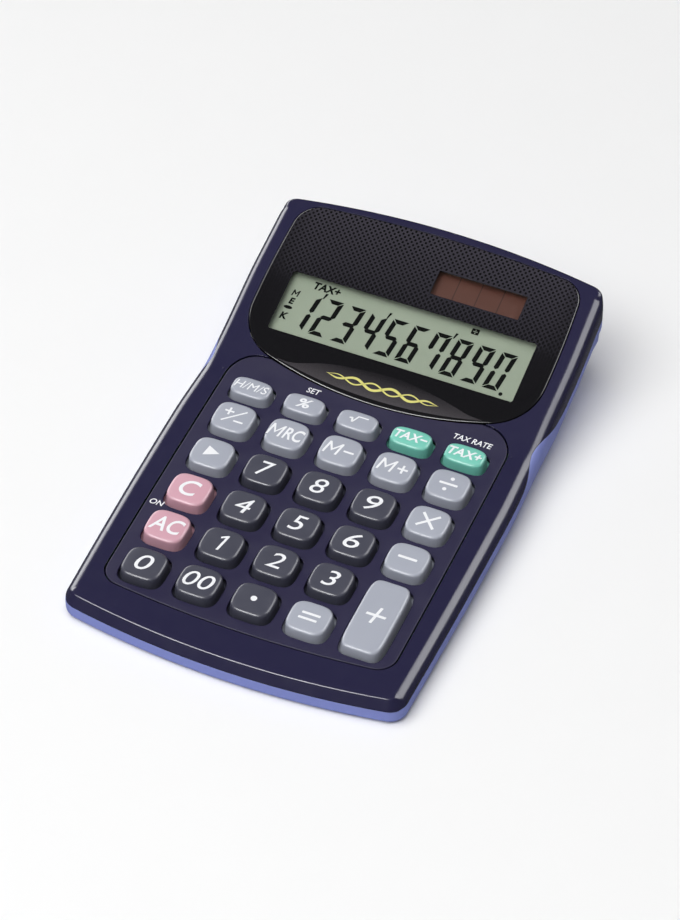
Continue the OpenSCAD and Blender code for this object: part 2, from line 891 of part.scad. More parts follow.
// Insulated wire along a curve: one tube with eight sides
module wire(points, r = 0.45) {
    path = curve(points, 5);
    sides = 8;
    last = len(path) - 1;
    rings = [
        for (i = [0:last])
            let (
                along = unit(path[min(i + 1, last)] - path[max(i - 1, 0)]),
                across = unit(cross(along, [0.31, 0.17, 0.93])),
                up = cross(along, across)
            )
            for (k = [0:sides - 1]) path[i] + r * (cos(360 * k / sides) * across + sin(360 * k / sides) * up)
    ];
    faces = concat(
        [[for (k = [0:sides - 1]) k]],
        [for (i = [0:last - 1], k = [0:sides - 1]) let (a = i * sides, n = (k + 1) % sides)
            [a + k, a + sides + k, a + sides + n, a + n]],
        [[for (k = [sides - 1:-1:0]) last * sides + k]]
    );
    polyhedron(rings, faces, convexity = 8);
}

// A point of the deck's frame, in the whole object's frame
function from_deck(x, y, z) = [
    x,
    shift + y * cos(deck_tilt) - z * sin(deck_tilt),
    rise + y * sin(deck_tilt) + z * cos(deck_tilt)
];

module battery_leads() {
    pad_y = board_rear - 2;
    color([0.75, 0.12, 0.12]) wire([
        [cell_x + 0.9, cell_y - cell_r - 1.4, floor_z + 4.4],
        [cell_x + 0.9, cell_y - cell_r - 4, floor_z + 4.4],
        from_deck(-24, pad_y + 5, board_bottom - 2),
        from_deck(-24, pad_y, board_bottom - 0.5)
    ]);
    color([0.1, 0.1, 0.1]) wire([
        [cell_x - 1, cell_y + cell_r + 1.4, floor_z + 0.8],
        [cell_x - 1, cell_y + cell_r + 3.5, floor_z + 1],
        [cell_x - 10, cell_y + cell_r + 1, floor_z + 1],
        [cell_x - 11, cell_y - cell_r - 6, floor_z + 1],
        from_deck(-30, pad_y + 5, board_bottom - 2),
        from_deck(-30, pad_y, board_bottom - 0.5)
    ]);
}

module solar_leads() {
    color([0.75, 0.12, 0.12]) for (x = [-1, 1]) {
        foot = from_deck(30 + x * 2, board_rear - 2, board_bottom - 0.5);
        low = from_deck(30 + x * 2, board_rear + 6, board_bottom - 3);
        cell = head_point(solar_q, glass_top - 1.6);
        behind = head_point(solar_q - 1, -head_t - holder_t - 3);
        wire([
            from_deck(solar_x + x * 12, cell[0], cell[1]),
            from_deck(solar_x + x * 12, behind[0], behind[1]),
            from_deck(30 + x * 2, 72, -8),
            low,
            foot
        ]);
    }
}

upper_case();
lower_case();
key_panel();
display_window();
window_tape();
lcd_glass();
lcd_reflector();
lcd_holder();
lcd_ribbon();
holder_screws();
solar_cell();
solar_tape();
rubber_key_sheet();
circuit_board();
processor_blob();
capacitors();
resistors();
board_screws();
button_cell();
battery_contact_plus();
battery_contact_minus();
battery_leads();
solar_leads();
case_seal();
case_screws();
feet();
for (k = KEYS) key(k);
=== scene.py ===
import json
import math

import bmesh
import bpy
import numpy as np
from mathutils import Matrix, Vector
from mathutils.geometry import delaunay_2d_cdt


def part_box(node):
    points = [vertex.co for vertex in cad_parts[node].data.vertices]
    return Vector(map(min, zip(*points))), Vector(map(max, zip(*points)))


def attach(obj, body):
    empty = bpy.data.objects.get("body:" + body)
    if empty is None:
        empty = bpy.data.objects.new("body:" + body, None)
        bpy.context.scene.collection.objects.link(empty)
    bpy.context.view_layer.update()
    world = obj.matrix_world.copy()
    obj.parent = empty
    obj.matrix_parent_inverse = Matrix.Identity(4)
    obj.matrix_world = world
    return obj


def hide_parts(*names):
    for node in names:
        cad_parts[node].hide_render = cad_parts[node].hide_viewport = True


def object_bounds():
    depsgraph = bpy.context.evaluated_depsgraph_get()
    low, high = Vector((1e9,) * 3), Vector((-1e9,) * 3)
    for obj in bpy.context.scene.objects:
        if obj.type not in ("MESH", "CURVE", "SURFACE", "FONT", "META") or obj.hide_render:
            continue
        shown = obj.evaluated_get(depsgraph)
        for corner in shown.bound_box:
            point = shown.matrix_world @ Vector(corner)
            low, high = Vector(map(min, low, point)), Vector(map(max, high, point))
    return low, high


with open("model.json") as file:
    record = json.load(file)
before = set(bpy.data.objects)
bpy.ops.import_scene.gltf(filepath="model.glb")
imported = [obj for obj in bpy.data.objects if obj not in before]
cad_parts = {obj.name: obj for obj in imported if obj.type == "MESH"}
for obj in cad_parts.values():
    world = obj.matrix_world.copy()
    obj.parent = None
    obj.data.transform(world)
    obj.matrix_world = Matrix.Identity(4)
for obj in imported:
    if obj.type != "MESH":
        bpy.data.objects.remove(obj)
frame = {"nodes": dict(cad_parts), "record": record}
cad_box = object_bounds()
MM = 0.001

# ---------------------------------------------------------------- frames
DECK_TILT = math.radians(3.0)
HEAD_TILT = math.radians(14.7)
HEAD_SLOPE = math.tan(HEAD_TILT)
HINGE_Y = 51.4          # bend between the key deck and the head, mm in the deck's frame
KEY_TOP = 3.0           # key tops above the deck, mm
KEY_BOTTOM = -3.15      # undersides of the key flanges, mm


def rot_x(a):
    c, s = math.cos(a), math.sin(a)
    return np.array([[1, 0, 0], [0, c, -s], [0, s, c]])


def box_mm(node):
    lo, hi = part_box(node)
    return np.array(lo) / MM, np.array(hi) / MM


R_DECK = rot_x(DECK_TILT)
R_BEND = rot_x(HEAD_TILT)
R_HEAD = R_DECK @ R_BEND
# The window's rear edge, at the top and at the underside, gives the place of the head's frame
WINDOW_REAR, WINDOW_TOP, WINDOW_BACK = 62.6, 0.3, -1.0
_hi = box_mm("display_window")[1]
HEAD_O = np.array([0, _hi[1] - (R_HEAD @ (0, WINDOW_REAR, WINDOW_BACK))[1],
                   _hi[2] - (R_HEAD @ (0, WINDOW_REAR, WINDOW_TOP))[2]])
DECK_O = HEAD_O - R_DECK @ np.array([0, HINGE_Y, 0])


def from_deck(p):
    return DECK_O + np.asarray(p, float) @ R_DECK.T


def from_head(p):
    return HEAD_O + np.asarray(p, float) @ R_HEAD.T


def to_deck(p):
    return (np.asarray(p, float) - DECK_O) @ R_DECK


def head_in_deck(p):
    return np.asarray(p, float) @ R_BEND.T + np.array([0, HINGE_Y, 0])


# ---------------------------------------------------------------- camera
LENS_MM = 149.757
CAMERA_AT = (0.29682, -0.73388, 0.79944)
CAMERA_TURN = (45.12396, -1.15573, 23.17675)     # degrees


def add_camera():
    """The photograph's viewing angle, distance and framing."""
    data = bpy.data.cameras.new("camera")
    data.lens = LENS_MM
    data.sensor_width = 36
    data.dof.use_dof = False
    data.clip_start, data.clip_end = 0.1, 20
    cam = bpy.data.objects.new("camera", data)
    cam.location = CAMERA_AT
    cam.rotation_euler = tuple(math.radians(a) for a in CAMERA_TURN)
    bpy.context.collection.objects.link(cam)
    bpy.context.scene.camera = cam


# ---------------------------------------------------------------- outlines, mm
# All of them lie in the key deck's plane, with the origin at the middle of the key grid
CASE_HALF_W = 53.8
CASE_FRONT, CASE_REAR = -53.5, 115.2
FLANK_H = 3.5                                    # upper case's edge, from its top to the parting line
HEAD_FLANK_Y = 68.0                              # from here the parting line climbs with the head
BAND_H, HEAD_BAND_H, BAND_BLEND = 4.5, 3.9, 12   # lower case's band: heights, and the stretch between them
WAIST_Y, WAIST_HALF, WAIST_DEPTH = 59.0, 30.0, 0.7
GRIP_Y, GRIP_HALF, GRIP_H = 58.0, 19.0, 4.0
SHOULDER_W, SHOULDER_H = 3.9, 4.5
CREASE = 2.1                                     # how far the front bevel reaches in
BEND_R = 25.0                                    # round bend between deck and head
SIDE_X = 40                                      # outline points further out belong to the sides


def arc(c, r, a0, a1, n, first=True):
    a = np.linspace(a0, a1, n + 1)[0 if first else 1:]
    return np.stack([c[0] + r * np.cos(a), c[1] + r * np.sin(a)], 1)


def meet(a, ra, b, rb, side):
    """Where two circles meet, on the given side of the line from one centre to the other."""
    a, b = np.array(a, float), np.array(b, float)
    d = np.linalg.norm(b - a)
    u = (b - a) / d
    k = (d * d + ra * ra - rb * rb) / (2 * d)
    h = math.sqrt(ra * ra - k * k)
    return a + k * u + side * h * np.array([-u[1], u[0]])


def angle_to(a, b):
    return math.atan2(b[1] - a[1], b[0] - a[0])


def bowed(half_w, bow_y, front, rear, bows, corners, inset=0.0, steps=(16, 8, 30, 8, 16)):
    """Rectangle with bowed edges and round corners, anticlockwise from the middle of the front edge."""
    side_c, front_c, rear_c = (half_w - bows[0], bow_y), (0, front + bows[1]), (0, rear - bows[2])
    rs, rfr, rre = bows[0] - inset, bows[1] - inset, bows[2] - inset
    rf, rr = max(corners[0] - inset, 0.3), max(corners[1] - inset, 0.3)
    cf = meet(side_c, rs - rf, front_c, rfr - rf, -1)
    cr = meet(side_c, rs - rr, rear_c, rre - rr, 1)
    a_f, a_sf = angle_to(front_c, cf), angle_to(side_c, cf)
    a_sr, a_r = angle_to(side_c, cr), angle_to(rear_c, cr)
    half = np.concatenate([
        arc(front_c, rfr, -math.pi / 2, a_f, steps[0]),
        arc(cf, rf, a_f, a_sf, steps[1], False),
        arc(side_c, rs, a_sf, a_sr, steps[2], False),
        arc(cr, rr, a_sr, a_r, steps[3], False),
        arc(rear_c, rre, a_r, math.pi / 2, steps[4], False),
    ])
    left = half[1:-1][::-1] * np.array([-1, 1])
    return np.concatenate([half, left])


def normals(p):
    """Inward normals of an anticlockwise outline."""
    t = np.roll(p, -1, 0) - np.roll(p, 1, 0)
    t /= np.linalg.norm(t, axis=1)[:, None]
    return np.stack([-t[:, 1], t[:, 0]], 1)


def waist(y):
    """How far the sides are drawn in."""
    t = np.clip((y - WAIST_Y) / WAIST_HALF, -1, 1)
    return WAIST_DEPTH * (1 - t * t) ** 2


def grip(y):
    """How far the parting line rises at the grips."""
    t = np.clip((y - GRIP_Y) / GRIP_HALF, -1, 1)
    return GRIP_H * (1 + np.cos(math.pi * t)) / 2


def case_outline(inset=0.0, steps=(40, 14, 130, 14, 40)):
    p = bowed(CASE_HALF_W, 35, CASE_FRONT, CASE_REAR, (2200, 266, 310), (5.5, 5.5), inset, steps)
    side = np.abs(p[:, 0]) > SIDE_X
    p[:, 0] -= np.where(side, np.sign(p[:, 0]) * waist(p[:, 1]), 0)
    return p


def lens_outline(inset=0.0, steps=(30, 24, 36, 20, 40)):
    return bowed(47, 30, 2, 62.6, (300, 120, 420), (17, 8), inset, steps)


def panel_outline(inset=0.0, steps=(30, 12, 60, 12, 30)):
    return bowed(45, 5, -41.3, 59.6, (4000, 330, 330), (6, 9), inset, steps)


def resample(p, n):
    """The same closed outline with n evenly spaced points."""
    seg = np.linalg.norm(np.roll(p, -1, 0) - p, axis=1)
    run = np.concatenate([[0], np.cumsum(seg)])
    q = np.concatenate([p, p[:1]])
    at = np.arange(n) / n * run[-1]
    return np.stack([np.interp(at, run, q[:, 0]), np.interp(at, run, q[:, 1])], 1)


def squircle(w, d, power, n=72):
    """Rounded rectangle with bulging sides, with evenly spaced points."""
    a = np.linspace(0, 2 * math.pi, 1441)[:-1]
    k = (np.abs(np.cos(a)) ** power + np.abs(np.sin(a)) ** power) ** (-1 / power)
    return resample(np.stack([w / 2 * k * np.cos(a), d / 2 * k * np.sin(a)], 1), n)


def z_top(y):
    """Surface of the deck and the head, with a round bend between them."""
    reach = BEND_R * math.tan(HEAD_TILT / 2)
    y0, y1 = HINGE_Y - reach, HINGE_Y + reach * math.cos(HEAD_TILT)
    bend = BEND_R - np.sqrt(np.maximum(BEND_R ** 2 - (y - y0) ** 2, 0))
    return np.where(y < y0, 0, np.where(y < y1, bend, (y - HINGE_Y) * HEAD_SLOPE))


def z_part(y):
    """Parting line of the two shells, without the grips."""
    return -FLANK_H + np.maximum(0, y - HEAD_FLANK_Y) * HEAD_SLOPE


def z_band(y):
    """Underside of the lower case's band."""
    near = -FLANK_H - BAND_H
    blended = -FLANK_H - HEAD_BAND_H + BAND_BLEND * HEAD_SLOPE
    mid = near + (y - HEAD_FLANK_Y) / BAND_BLEND * (blended - near)
    far = -FLANK_H - HEAD_BAND_H + (y - HEAD_FLANK_Y) * HEAD_SLOPE
    return np.where(y < HEAD_FLANK_Y, near, np.where(y < HEAD_FLANK_Y + BAND_BLEND, mid, far))


def on_top(p):
    return z_top(p[:, 1])


# ---------------------------------------------------------------- mesh tools
def lift(p2, z):
    """Flat points with a height added."""
    z = np.broadcast_to(z, (len(p2),))
    return np.column_stack([p2, z])


def inside(pts, poly):
    """Even-odd test of many points against one polygon."""
    x, y = pts[:, 0][:, None], pts[:, 1][:, None]
    x0, y0 = poly[:, 0], poly[:, 1]
    x1, y1 = np.roll(x0, -1), np.roll(y0, -1)
    cross = ((y0 <= y) & (y1 > y)) | ((y1 <= y) & (y0 > y))
    with np.errstate(divide="ignore", invalid="ignore"):
        hit = cross & (x < x0 + (y - y0) / (y1 - y0) * (x1 - x0))
    return hit.sum(1) % 2 == 1


class Shape:
    """Collects vertices and faces in mm, then makes one welded mesh object in metres."""

    def __init__(self):
        self.v, self.f, self.mat = [], [], []

    def add(self, verts, faces, mat=0):
        base = len(self.v)
        self.v.extend(np.asarray(verts, float).tolist())
        self.f.extend([tuple(base + i for i in f) for f in faces])
        self.mat.extend([mat] * len(faces))

    def loft(self, rings, mat=0):
        """A skin through closed rings of as many points each."""
        n = len(rings[0])
        faces = []
        for r in range(len(rings) - 1):
            for i in range(n):
                j = (i + 1) % n
                faces.append((r * n + i, r * n + j, (r + 1) * n + j, (r + 1) * n + i))
        self.add(np.concatenate(rings), faces, mat)

    def fan(self, ring, centre, mat=0):
        """Closes a ring with triangles to its centre."""
        n = len(ring)
        self.add(np.concatenate([ring, [centre]]), [(i, (i + 1) % n, n) for i in range(n)], mat)

    def fill(self, outer, holes, zfun, extra=(), place=None, mat=0):
        """Triangulates the area inside every outer loop and outside every hole."""
        loops = list(outer) + list(holes)
        pts = [Vector(map(float, q)) for lp in loops for q in lp]
        edges, base = [], 0
        for lp in loops:
            edges += [(base + i, base + (i + 1) % len(lp)) for i in range(len(lp))]
            base += len(lp)
        if len(extra):
            extra = np.asarray(extra, float)
            ok = np.ones(len(extra), bool)
            for lp in outer:
                ok &= inside(extra, np.asarray(lp))
            for lp in holes:
                ok &= ~inside(extra, np.asarray(lp))
            pts += [Vector(map(float, q)) for q in extra[ok]]
        vo, _, fo, *_ = delaunay_2d_cdt(pts, edges, [], 0, 1e-5)
        vo = np.array([tuple(q) for q in vo])
        tri = np.array([tuple(q) for q in fo])
        cen = vo[tri].mean(1)
        keep = np.ones(len(tri), bool)
        for lp in outer:
            keep &= inside(cen, np.asarray(lp))
        for lp in holes:
            keep &= ~inside(cen, np.asarray(lp))
        p3 = lift(vo, zfun(vo) if callable(zfun) else zfun)
        self.add(place(p3) if place else p3, [tuple(t) for t in tri[keep]], mat)

    def slab(self, verts, faces, zfun, thick, place=None, mat=0):
        """A closed plate of the given thickness under zfun, from a flat mesh."""
        verts = np.asarray(verts, float)
        z = zfun(verts) if callable(zfun) else np.full(len(verts), float(zfun))
        both = np.concatenate([lift(verts, z), lift(verts, z - thick)])
        n = len(verts)
        edges = {}
        for f in faces:
            for a, b in zip(f, tuple(f[1:]) + (f[0],)):
                edges[(a, b)] = (b, a) in edges
                if edges[(a, b)]:
                    edges[(b, a)] = True
        out = [tuple(f) for f in faces] + [tuple(i + n for i in reversed(f)) for f in faces]
        out += [(b, a, a + n, b + n) for (a, b), shared in edges.items() if not shared]
        self.add(place(both) if place else both, out, mat)

    def polygon(self, points, zfun, thick, place=None, mat=0):
        points = np.asarray(points, float)
        self.slab(points, [tuple(range(len(points)))], zfun, thick, place, mat)

    def make(self, name, body="case", mats=(), smooth=True, sharp=None, weld=2e-6):
        mesh = bpy.data.meshes.new(name)
        mesh.from_pydata([tuple(c * MM for c in p) for p in self.v], [], self.f)
        for m in mats:
            mesh.materials.append(m)
        mesh.polygons.foreach_set("material_index", self.mat)
        bm = bmesh.new()
        bm.from_mesh(mesh)
        bmesh.ops.remove_doubles(bm, verts=bm.verts, dist=weld)
        bmesh.ops.dissolve_degenerate(bm, dist=1e-7, edges=bm.edges)
        loose = [q for q in bm.verts if not q.link_faces]
        bmesh.ops.delete(bm, geom=loose, context="VERTS")
        bmesh.ops.recalc_face_normals(bm, faces=bm.faces)
        bm.to_mesh(mesh)
        bm.free()
        mesh.polygons.foreach_set("use_smooth", [smooth] * len(mesh.polygons))
        if sharp is not None:
            mesh.set_sharp_from_angle(angle=math.radians(sharp))
        obj = bpy.data.objects.new(name, mesh)
        bpy.context.collection.objects.link(obj)
        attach(obj, body)
        return obj


def weighted(obj):
    mod = obj.modifiers.new("normals", "WEIGHTED_NORMAL")
    mod.mode = "FACE_AREA"
    mod.weight = 100
    mod.keep_sharp = True


def bevel(obj, width, segments=3, angle=30):
    mod = obj.modifiers.new("edges", "BEVEL")
    mod.width = width * MM
    mod.segments = segments
    mod.limit_method = "ANGLE"
    mod.angle_limit = math.radians(angle)


# ---------------------------------------------------------------- materials
def srgb(r, g, b):
    """sRGB 0-255 to linear, with alpha."""
    def lin(v):
        v /= 255
        return v / 12.92 if v <= 0.04045 else ((v + 0.055) / 1.055) ** 2.4
    return lin(r), lin(g), lin(b), 1.0


class Nodes:
    """A material's node tree, with short ways to add and join nodes."""

    def __init__(self, name):
        self.mat = bpy.data.materials.new(name)
        self.mat.use_nodes = True
        self.tree = self.mat.node_tree
        self.tree.nodes.clear()
        self.out = self.tree.nodes.new("ShaderNodeOutputMaterial")
        self.bsdf = self.tree.nodes.new("ShaderNodeBsdfPrincipled")
        self.tree.links.new(self.bsdf.outputs[0], self.out.inputs[0])
        self.coord = self.tree.nodes.new("ShaderNodeTexCoord").outputs["Object"]

    def node(self, kind, **settings):
        n = self.tree.nodes.new("ShaderNode" + kind)
        for k, v in settings.items():
            setattr(n, k, v)
        return n

    def link(self, a, b):
        self.tree.links.new(a, b)

    def put(self, socket, value):
        if isinstance(value, bpy.types.NodeSocket):
            self.link(value, socket)
        else:
            socket.default_value = value

    def math(self, op, a, b=0.0):
        n = self.node("Math", operation=op)
        self.put(n.inputs[0], a)
        self.put(n.inputs[1], b)
        return n.outputs[0]

    def noise(self, scale, detail=2.0):
        n = self.node("TexNoise")
        n.inputs["Scale"].default_value = scale
        n.inputs["Detail"].default_value = detail
        self.link(self.coord, n.inputs["Vector"])
        return n.outputs["Fac"]

    def ramp(self, fac, low, high, out_low, out_high):
        n = self.node("MapRange")
        for i, v in enumerate((low, high, out_low, out_high)):
            n.inputs[i + 1].default_value = v
        self.link(fac, n.inputs[0])
        return n.outputs[0]

    def mix(self, fac, a, b):
        n = self.node("Mix", data_type="RGBA")
        self.put(n.inputs["Factor"], fac)
        self.put(n.inputs[6], a)
        self.put(n.inputs[7], b)
        return n.outputs[2]

    def bump(self, height, strength, distance):
        n = self.node("Bump")
        n.inputs["Strength"].default_value = strength
        n.inputs["Distance"].default_value = distance * MM
        self.link(height, n.inputs["Height"])
        self.link(n.outputs[0], self.bsdf.inputs["Normal"])

    def set(self, **values):
        for k, v in values.items():
            self.put(self.bsdf.inputs[k.replace("_", " ")], v)


def shade(colour, k):
    return tuple(min(c * k, 1) for c in colour[:3]) + (1.0,)


def plastic(name, colour, rough, grain=0.25, grain_mm=0.25, spec=0.5, vary=0.06, mottle=40.0):
    """Moulded plastic: slight flow mottling in colour, uneven gloss and a fine moulded grain."""
    m = Nodes(name)
    cloud = m.noise(mottle, 3.0)
    m.set(Base_Color=m.mix(cloud, shade(colour, 1 - vary), shade(colour, 1 + vary)))
    wear = m.noise(mottle * 6, 2.0)
    m.set(Roughness=m.ramp(wear, 0.3, 0.7, rough * 0.88, rough * 1.12))
    m.bsdf.inputs["Specular IOR Level"].default_value = spec
    m.bump(m.noise(1 / (grain_mm * MM), 2.0), grain, 0.02)
    return m.mat


def metal(name, colour, rough):
    """Plated sheet metal with fine marks from handling."""
    m = Nodes(name)
    n = m.noise(900, 4.0)
    m.set(Base_Color=m.mix(n, shade(colour, 0.85), shade(colour, 1.08)))
    m.set(Roughness=m.ramp(n, 0.3, 0.7, rough * 0.8, rough * 1.3))
    m.bsdf.inputs["Metallic"].default_value = 1.0
    m.bump(n, 0.15, 0.02)
    return m.mat


KEY_GRAIN = {"grain": 0.3, "grain_mm": 0.3}
BLUE = plastic("glossy_blue", srgb(34, 32, 62), 0.22, grain=0.06, grain_mm=0.6, vary=0.05)
PERIWINKLE = plastic("case_periwinkle_plastic", srgb(130, 140, 204), 0.34, 0.2, 0.3, spec=0.15, vary=0.04)
PANEL = plastic("panel_blue_plastic", srgb(40, 37, 64), 0.5, grain=0.5, grain_mm=0.22, spec=0.2)
KEY_GREY = plastic("key_grey_plastic", srgb(164, 168, 180), 0.36, vary=0.04, **KEY_GRAIN)
KEY_DARK = plastic("key_dark_plastic", srgb(66, 67, 80), 0.34, vary=0.07, **KEY_GRAIN)
KEY_PINK = plastic("key_pink_plastic", srgb(208, 160, 174), 0.36, vary=0.04, **KEY_GRAIN)
KEY_GREEN = plastic("key_green_plastic", srgb(118, 200, 182), 0.36, vary=0.04, **KEY_GRAIN)
INK = plastic("white_ink", srgb(236, 237, 240), 0.5, grain=0.3, grain_mm=0.1, vary=0.03, mottle=600)
RUBBER = plastic("black_rubber_plastic", srgb(30, 30, 32), 0.75, grain=0.6, grain_mm=0.3, vary=0.2)
KEY_MATERIAL = {"key_grey": KEY_GREY, "key_dark": KEY_DARK, "key_pink": KEY_PINK, "key_green": KEY_GREEN}


# ---------------------------------------------------------------- upper case
def end_weights(p):
    """How far each outline point belongs to the front and to the rear edge, from 0 to 1."""
    n = -normals(p)
    front = np.clip((-n[:, 1] - 0.25) / 0.5, 0, 1)
    rear = np.clip((n[:, 1] - 0.25) / 0.5, 0, 1)
    return front * front * (3 - 2 * front), rear * rear * (3 - 2 * rear)


EDGE_STEPS = 14
CREASE_R, REAR_R = 0.8, 1.5
SHELL_T, RECESS_DEPTH = 1.2, 1.6
TOP_GAP = 0.3                                    # the recess is this much larger than the panel


def edge_profile(front, rear):
    """Distances in and down of the case's outer edge, from the flat top on, for one outline point."""
    a = np.linspace(math.pi / 2, 0, EDGE_STEPS)
    side_in, side_down = SHOULDER_W * (1 - np.cos(a)), SHOULDER_H * (1 - np.sin(a))
    rear_in, rear_down = REAR_R * (1 - np.cos(a)), REAR_R * (1 - np.sin(a))
    slope = math.atan2(FLANK_H, CREASE)
    t = CREASE_R * math.tan(slope / 2)
    b = np.linspace(0, slope, EDGE_STEPS - 4)
    fr_in = CREASE + t - CREASE_R * np.sin(b)
    fr_down = CREASE_R * (1 - np.cos(b))
    k = np.linspace(0, 1, 5)[1:]
    fr_in = np.concatenate([fr_in, fr_in[-1] * (1 - k)])
    fr_down = np.concatenate([fr_down, fr_down[-1] + (FLANK_H - fr_down[-1]) * k])
    w = 1 - front - rear
    d_in = w * side_in + front * fr_in + rear * rear_in
    down = w * side_down + front * fr_down + rear * rear_down
    return d_in, down


def edge_at(front, rear, drop):
    """Inset of the case's outer edge at a given drop below its top."""
    d_in, down = edge_profile(front, rear)
    return np.interp(drop, down, d_in, right=0.0)


def case_edge_rings(outline, stop, n):
    """Rings on the outer edge from the top to a drop of stop, closer together near the top."""
    nrm = normals(outline)
    front, rear = end_weights(outline)
    rings = []
    for k in np.linspace(0, 1, n):
        ring = []
        for i, p in enumerate(outline):
            drop = stop[i] * k ** 1.6
            q = p + nrm[i] * edge_at(front[i], rear[i], drop)
            ring.append((q[0], q[1], z_top(q[1]) - drop))
        rings.append(np.array(ring, float))
    return rings


def parting_drops(outline):
    """How far below the top the parting line runs, at each outline point."""
    side = np.abs(outline[:, 0]) > SIDE_X
    y = outline[:, 1]
    return z_top(y) - z_part(y) - np.where(side, grip(y), 0)


def build_upper_case():
    """The glossy blue top shell, open where the panel and the window are let in."""
    outline = case_outline()
    rings = case_edge_rings(outline, parting_drops(outline), 20)
    s = Shape()
    s.loft([from_deck(r) for r in rings])
    inner = rings[0][:, :2]
    panel = panel_outline(-TOP_GAP)
    lens = head_in_deck(lift(lens_outline(-0.25), 0))[:, :2]
    bend_y = np.linspace(HINGE_Y - 4.5, HINGE_Y + 4.5, 13)
    extra = [(x, y) for y in bend_y for x in np.arange(-49, 50, 2.0)]
    s.fill([inner], [panel, lens], on_top, extra, from_deck)
    obj = s.make("upper_case_shell", mats=[BLUE])
    bm = bmesh.new()
    bm.from_mesh(obj.data)
    top = max(bm.faces, key=lambda f: f.calc_area())
    if top.normal.z < 0:
        bmesh.ops.reverse_faces(bm, faces=bm.faces)
    # Walls of the recess for the panel and the window, from the open edges inside the top's outline
    def in_recess(edge):
        middle = to_deck(np.array((edge.verts[0].co + edge.verts[1].co) / 2) / MM)
        return edge.is_boundary and inside(middle[None, :2], inner)[0]

    hole = [e for e in bm.edges if in_recess(e)]
    made = bmesh.ops.extrude_edge_only(bm, edges=hole)["geom"]
    down = Vector(R_DECK @ np.array([0, 0, -RECESS_DEPTH * MM]))
    for v in (g for g in made if isinstance(g, bmesh.types.BMVert)):
        v.co += down
    bm.to_mesh(obj.data)
    bm.free()
    obj.data.polygons.foreach_set("use_smooth", [True] * len(obj.data.polygons))
    bevel(obj, 0.2, 2, 50)
    thick = obj.modifiers.new("wall", "SOLIDIFY")
    thick.thickness = SHELL_T * MM
    thick.offset = -1
    weighted(obj)
    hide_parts("upper_case")


# ---------------------------------------------------------------- lower case
UNDERSIDE_Y, WEDGE_HALF_W, WEDGE_DRAFT = -49.0, 45.4, math.tan(math.radians(25))
WEDGE_REAR_Y, WEDGE_TOP_Y = 103.0, 112.0
BAND_R = 0.8                                     # round lower edge of the band
CASE_SCREWS = [(-40, -45.4), (40, -45.4), (-49.1, 2), (49.1, 2), (-37.5, 100.3), (37.5, 100.3)]
SCREW_BORE_R, SCREW_SEAT = 2.5, 2.6
FEET = [(-36, -62), (36, -62), (-36, 55), (36, 55)]
FOOT_R, FOOT_SEAT, FOOT_MIDDLE = 4.6, 0.7, 0.8


def soft_max(a, b, k):
    """The larger of two heights, with a round fillet about k wide where they cross."""
    h = np.maximum(k - np.abs(a - b), 0) / k
    return np.maximum(a, b) + h * h * k / 4


def foot_plane(y):
    """Level underside, seen in the tilted deck's frame."""
    return -FLANK_H - BAND_H - (y - UNDERSIDE_Y) * math.tan(DECK_TILT)


def under(p):
    """Height of the lower case's underside: a flat ledge all round, and the wedge standing out of it."""
    x, y = np.abs(p[:, 0]), p[:, 1]
    side = foot_plane(y) + (x - WEDGE_HALF_W) / WEDGE_DRAFT
    z0 = foot_plane(WEDGE_REAR_Y)
    z1 = z_part(WEDGE_TOP_Y) - HEAD_BAND_H + 1
    rear = z0 + (y - WEDGE_REAR_Y) * (z1 - z0) / (WEDGE_TOP_Y - WEDGE_REAR_Y)
    wedge = soft_max(soft_max(side, rear, 3.0), foot_plane(y), 2.0)
    return -soft_max(-z_band(y), -wedge, 1.0)


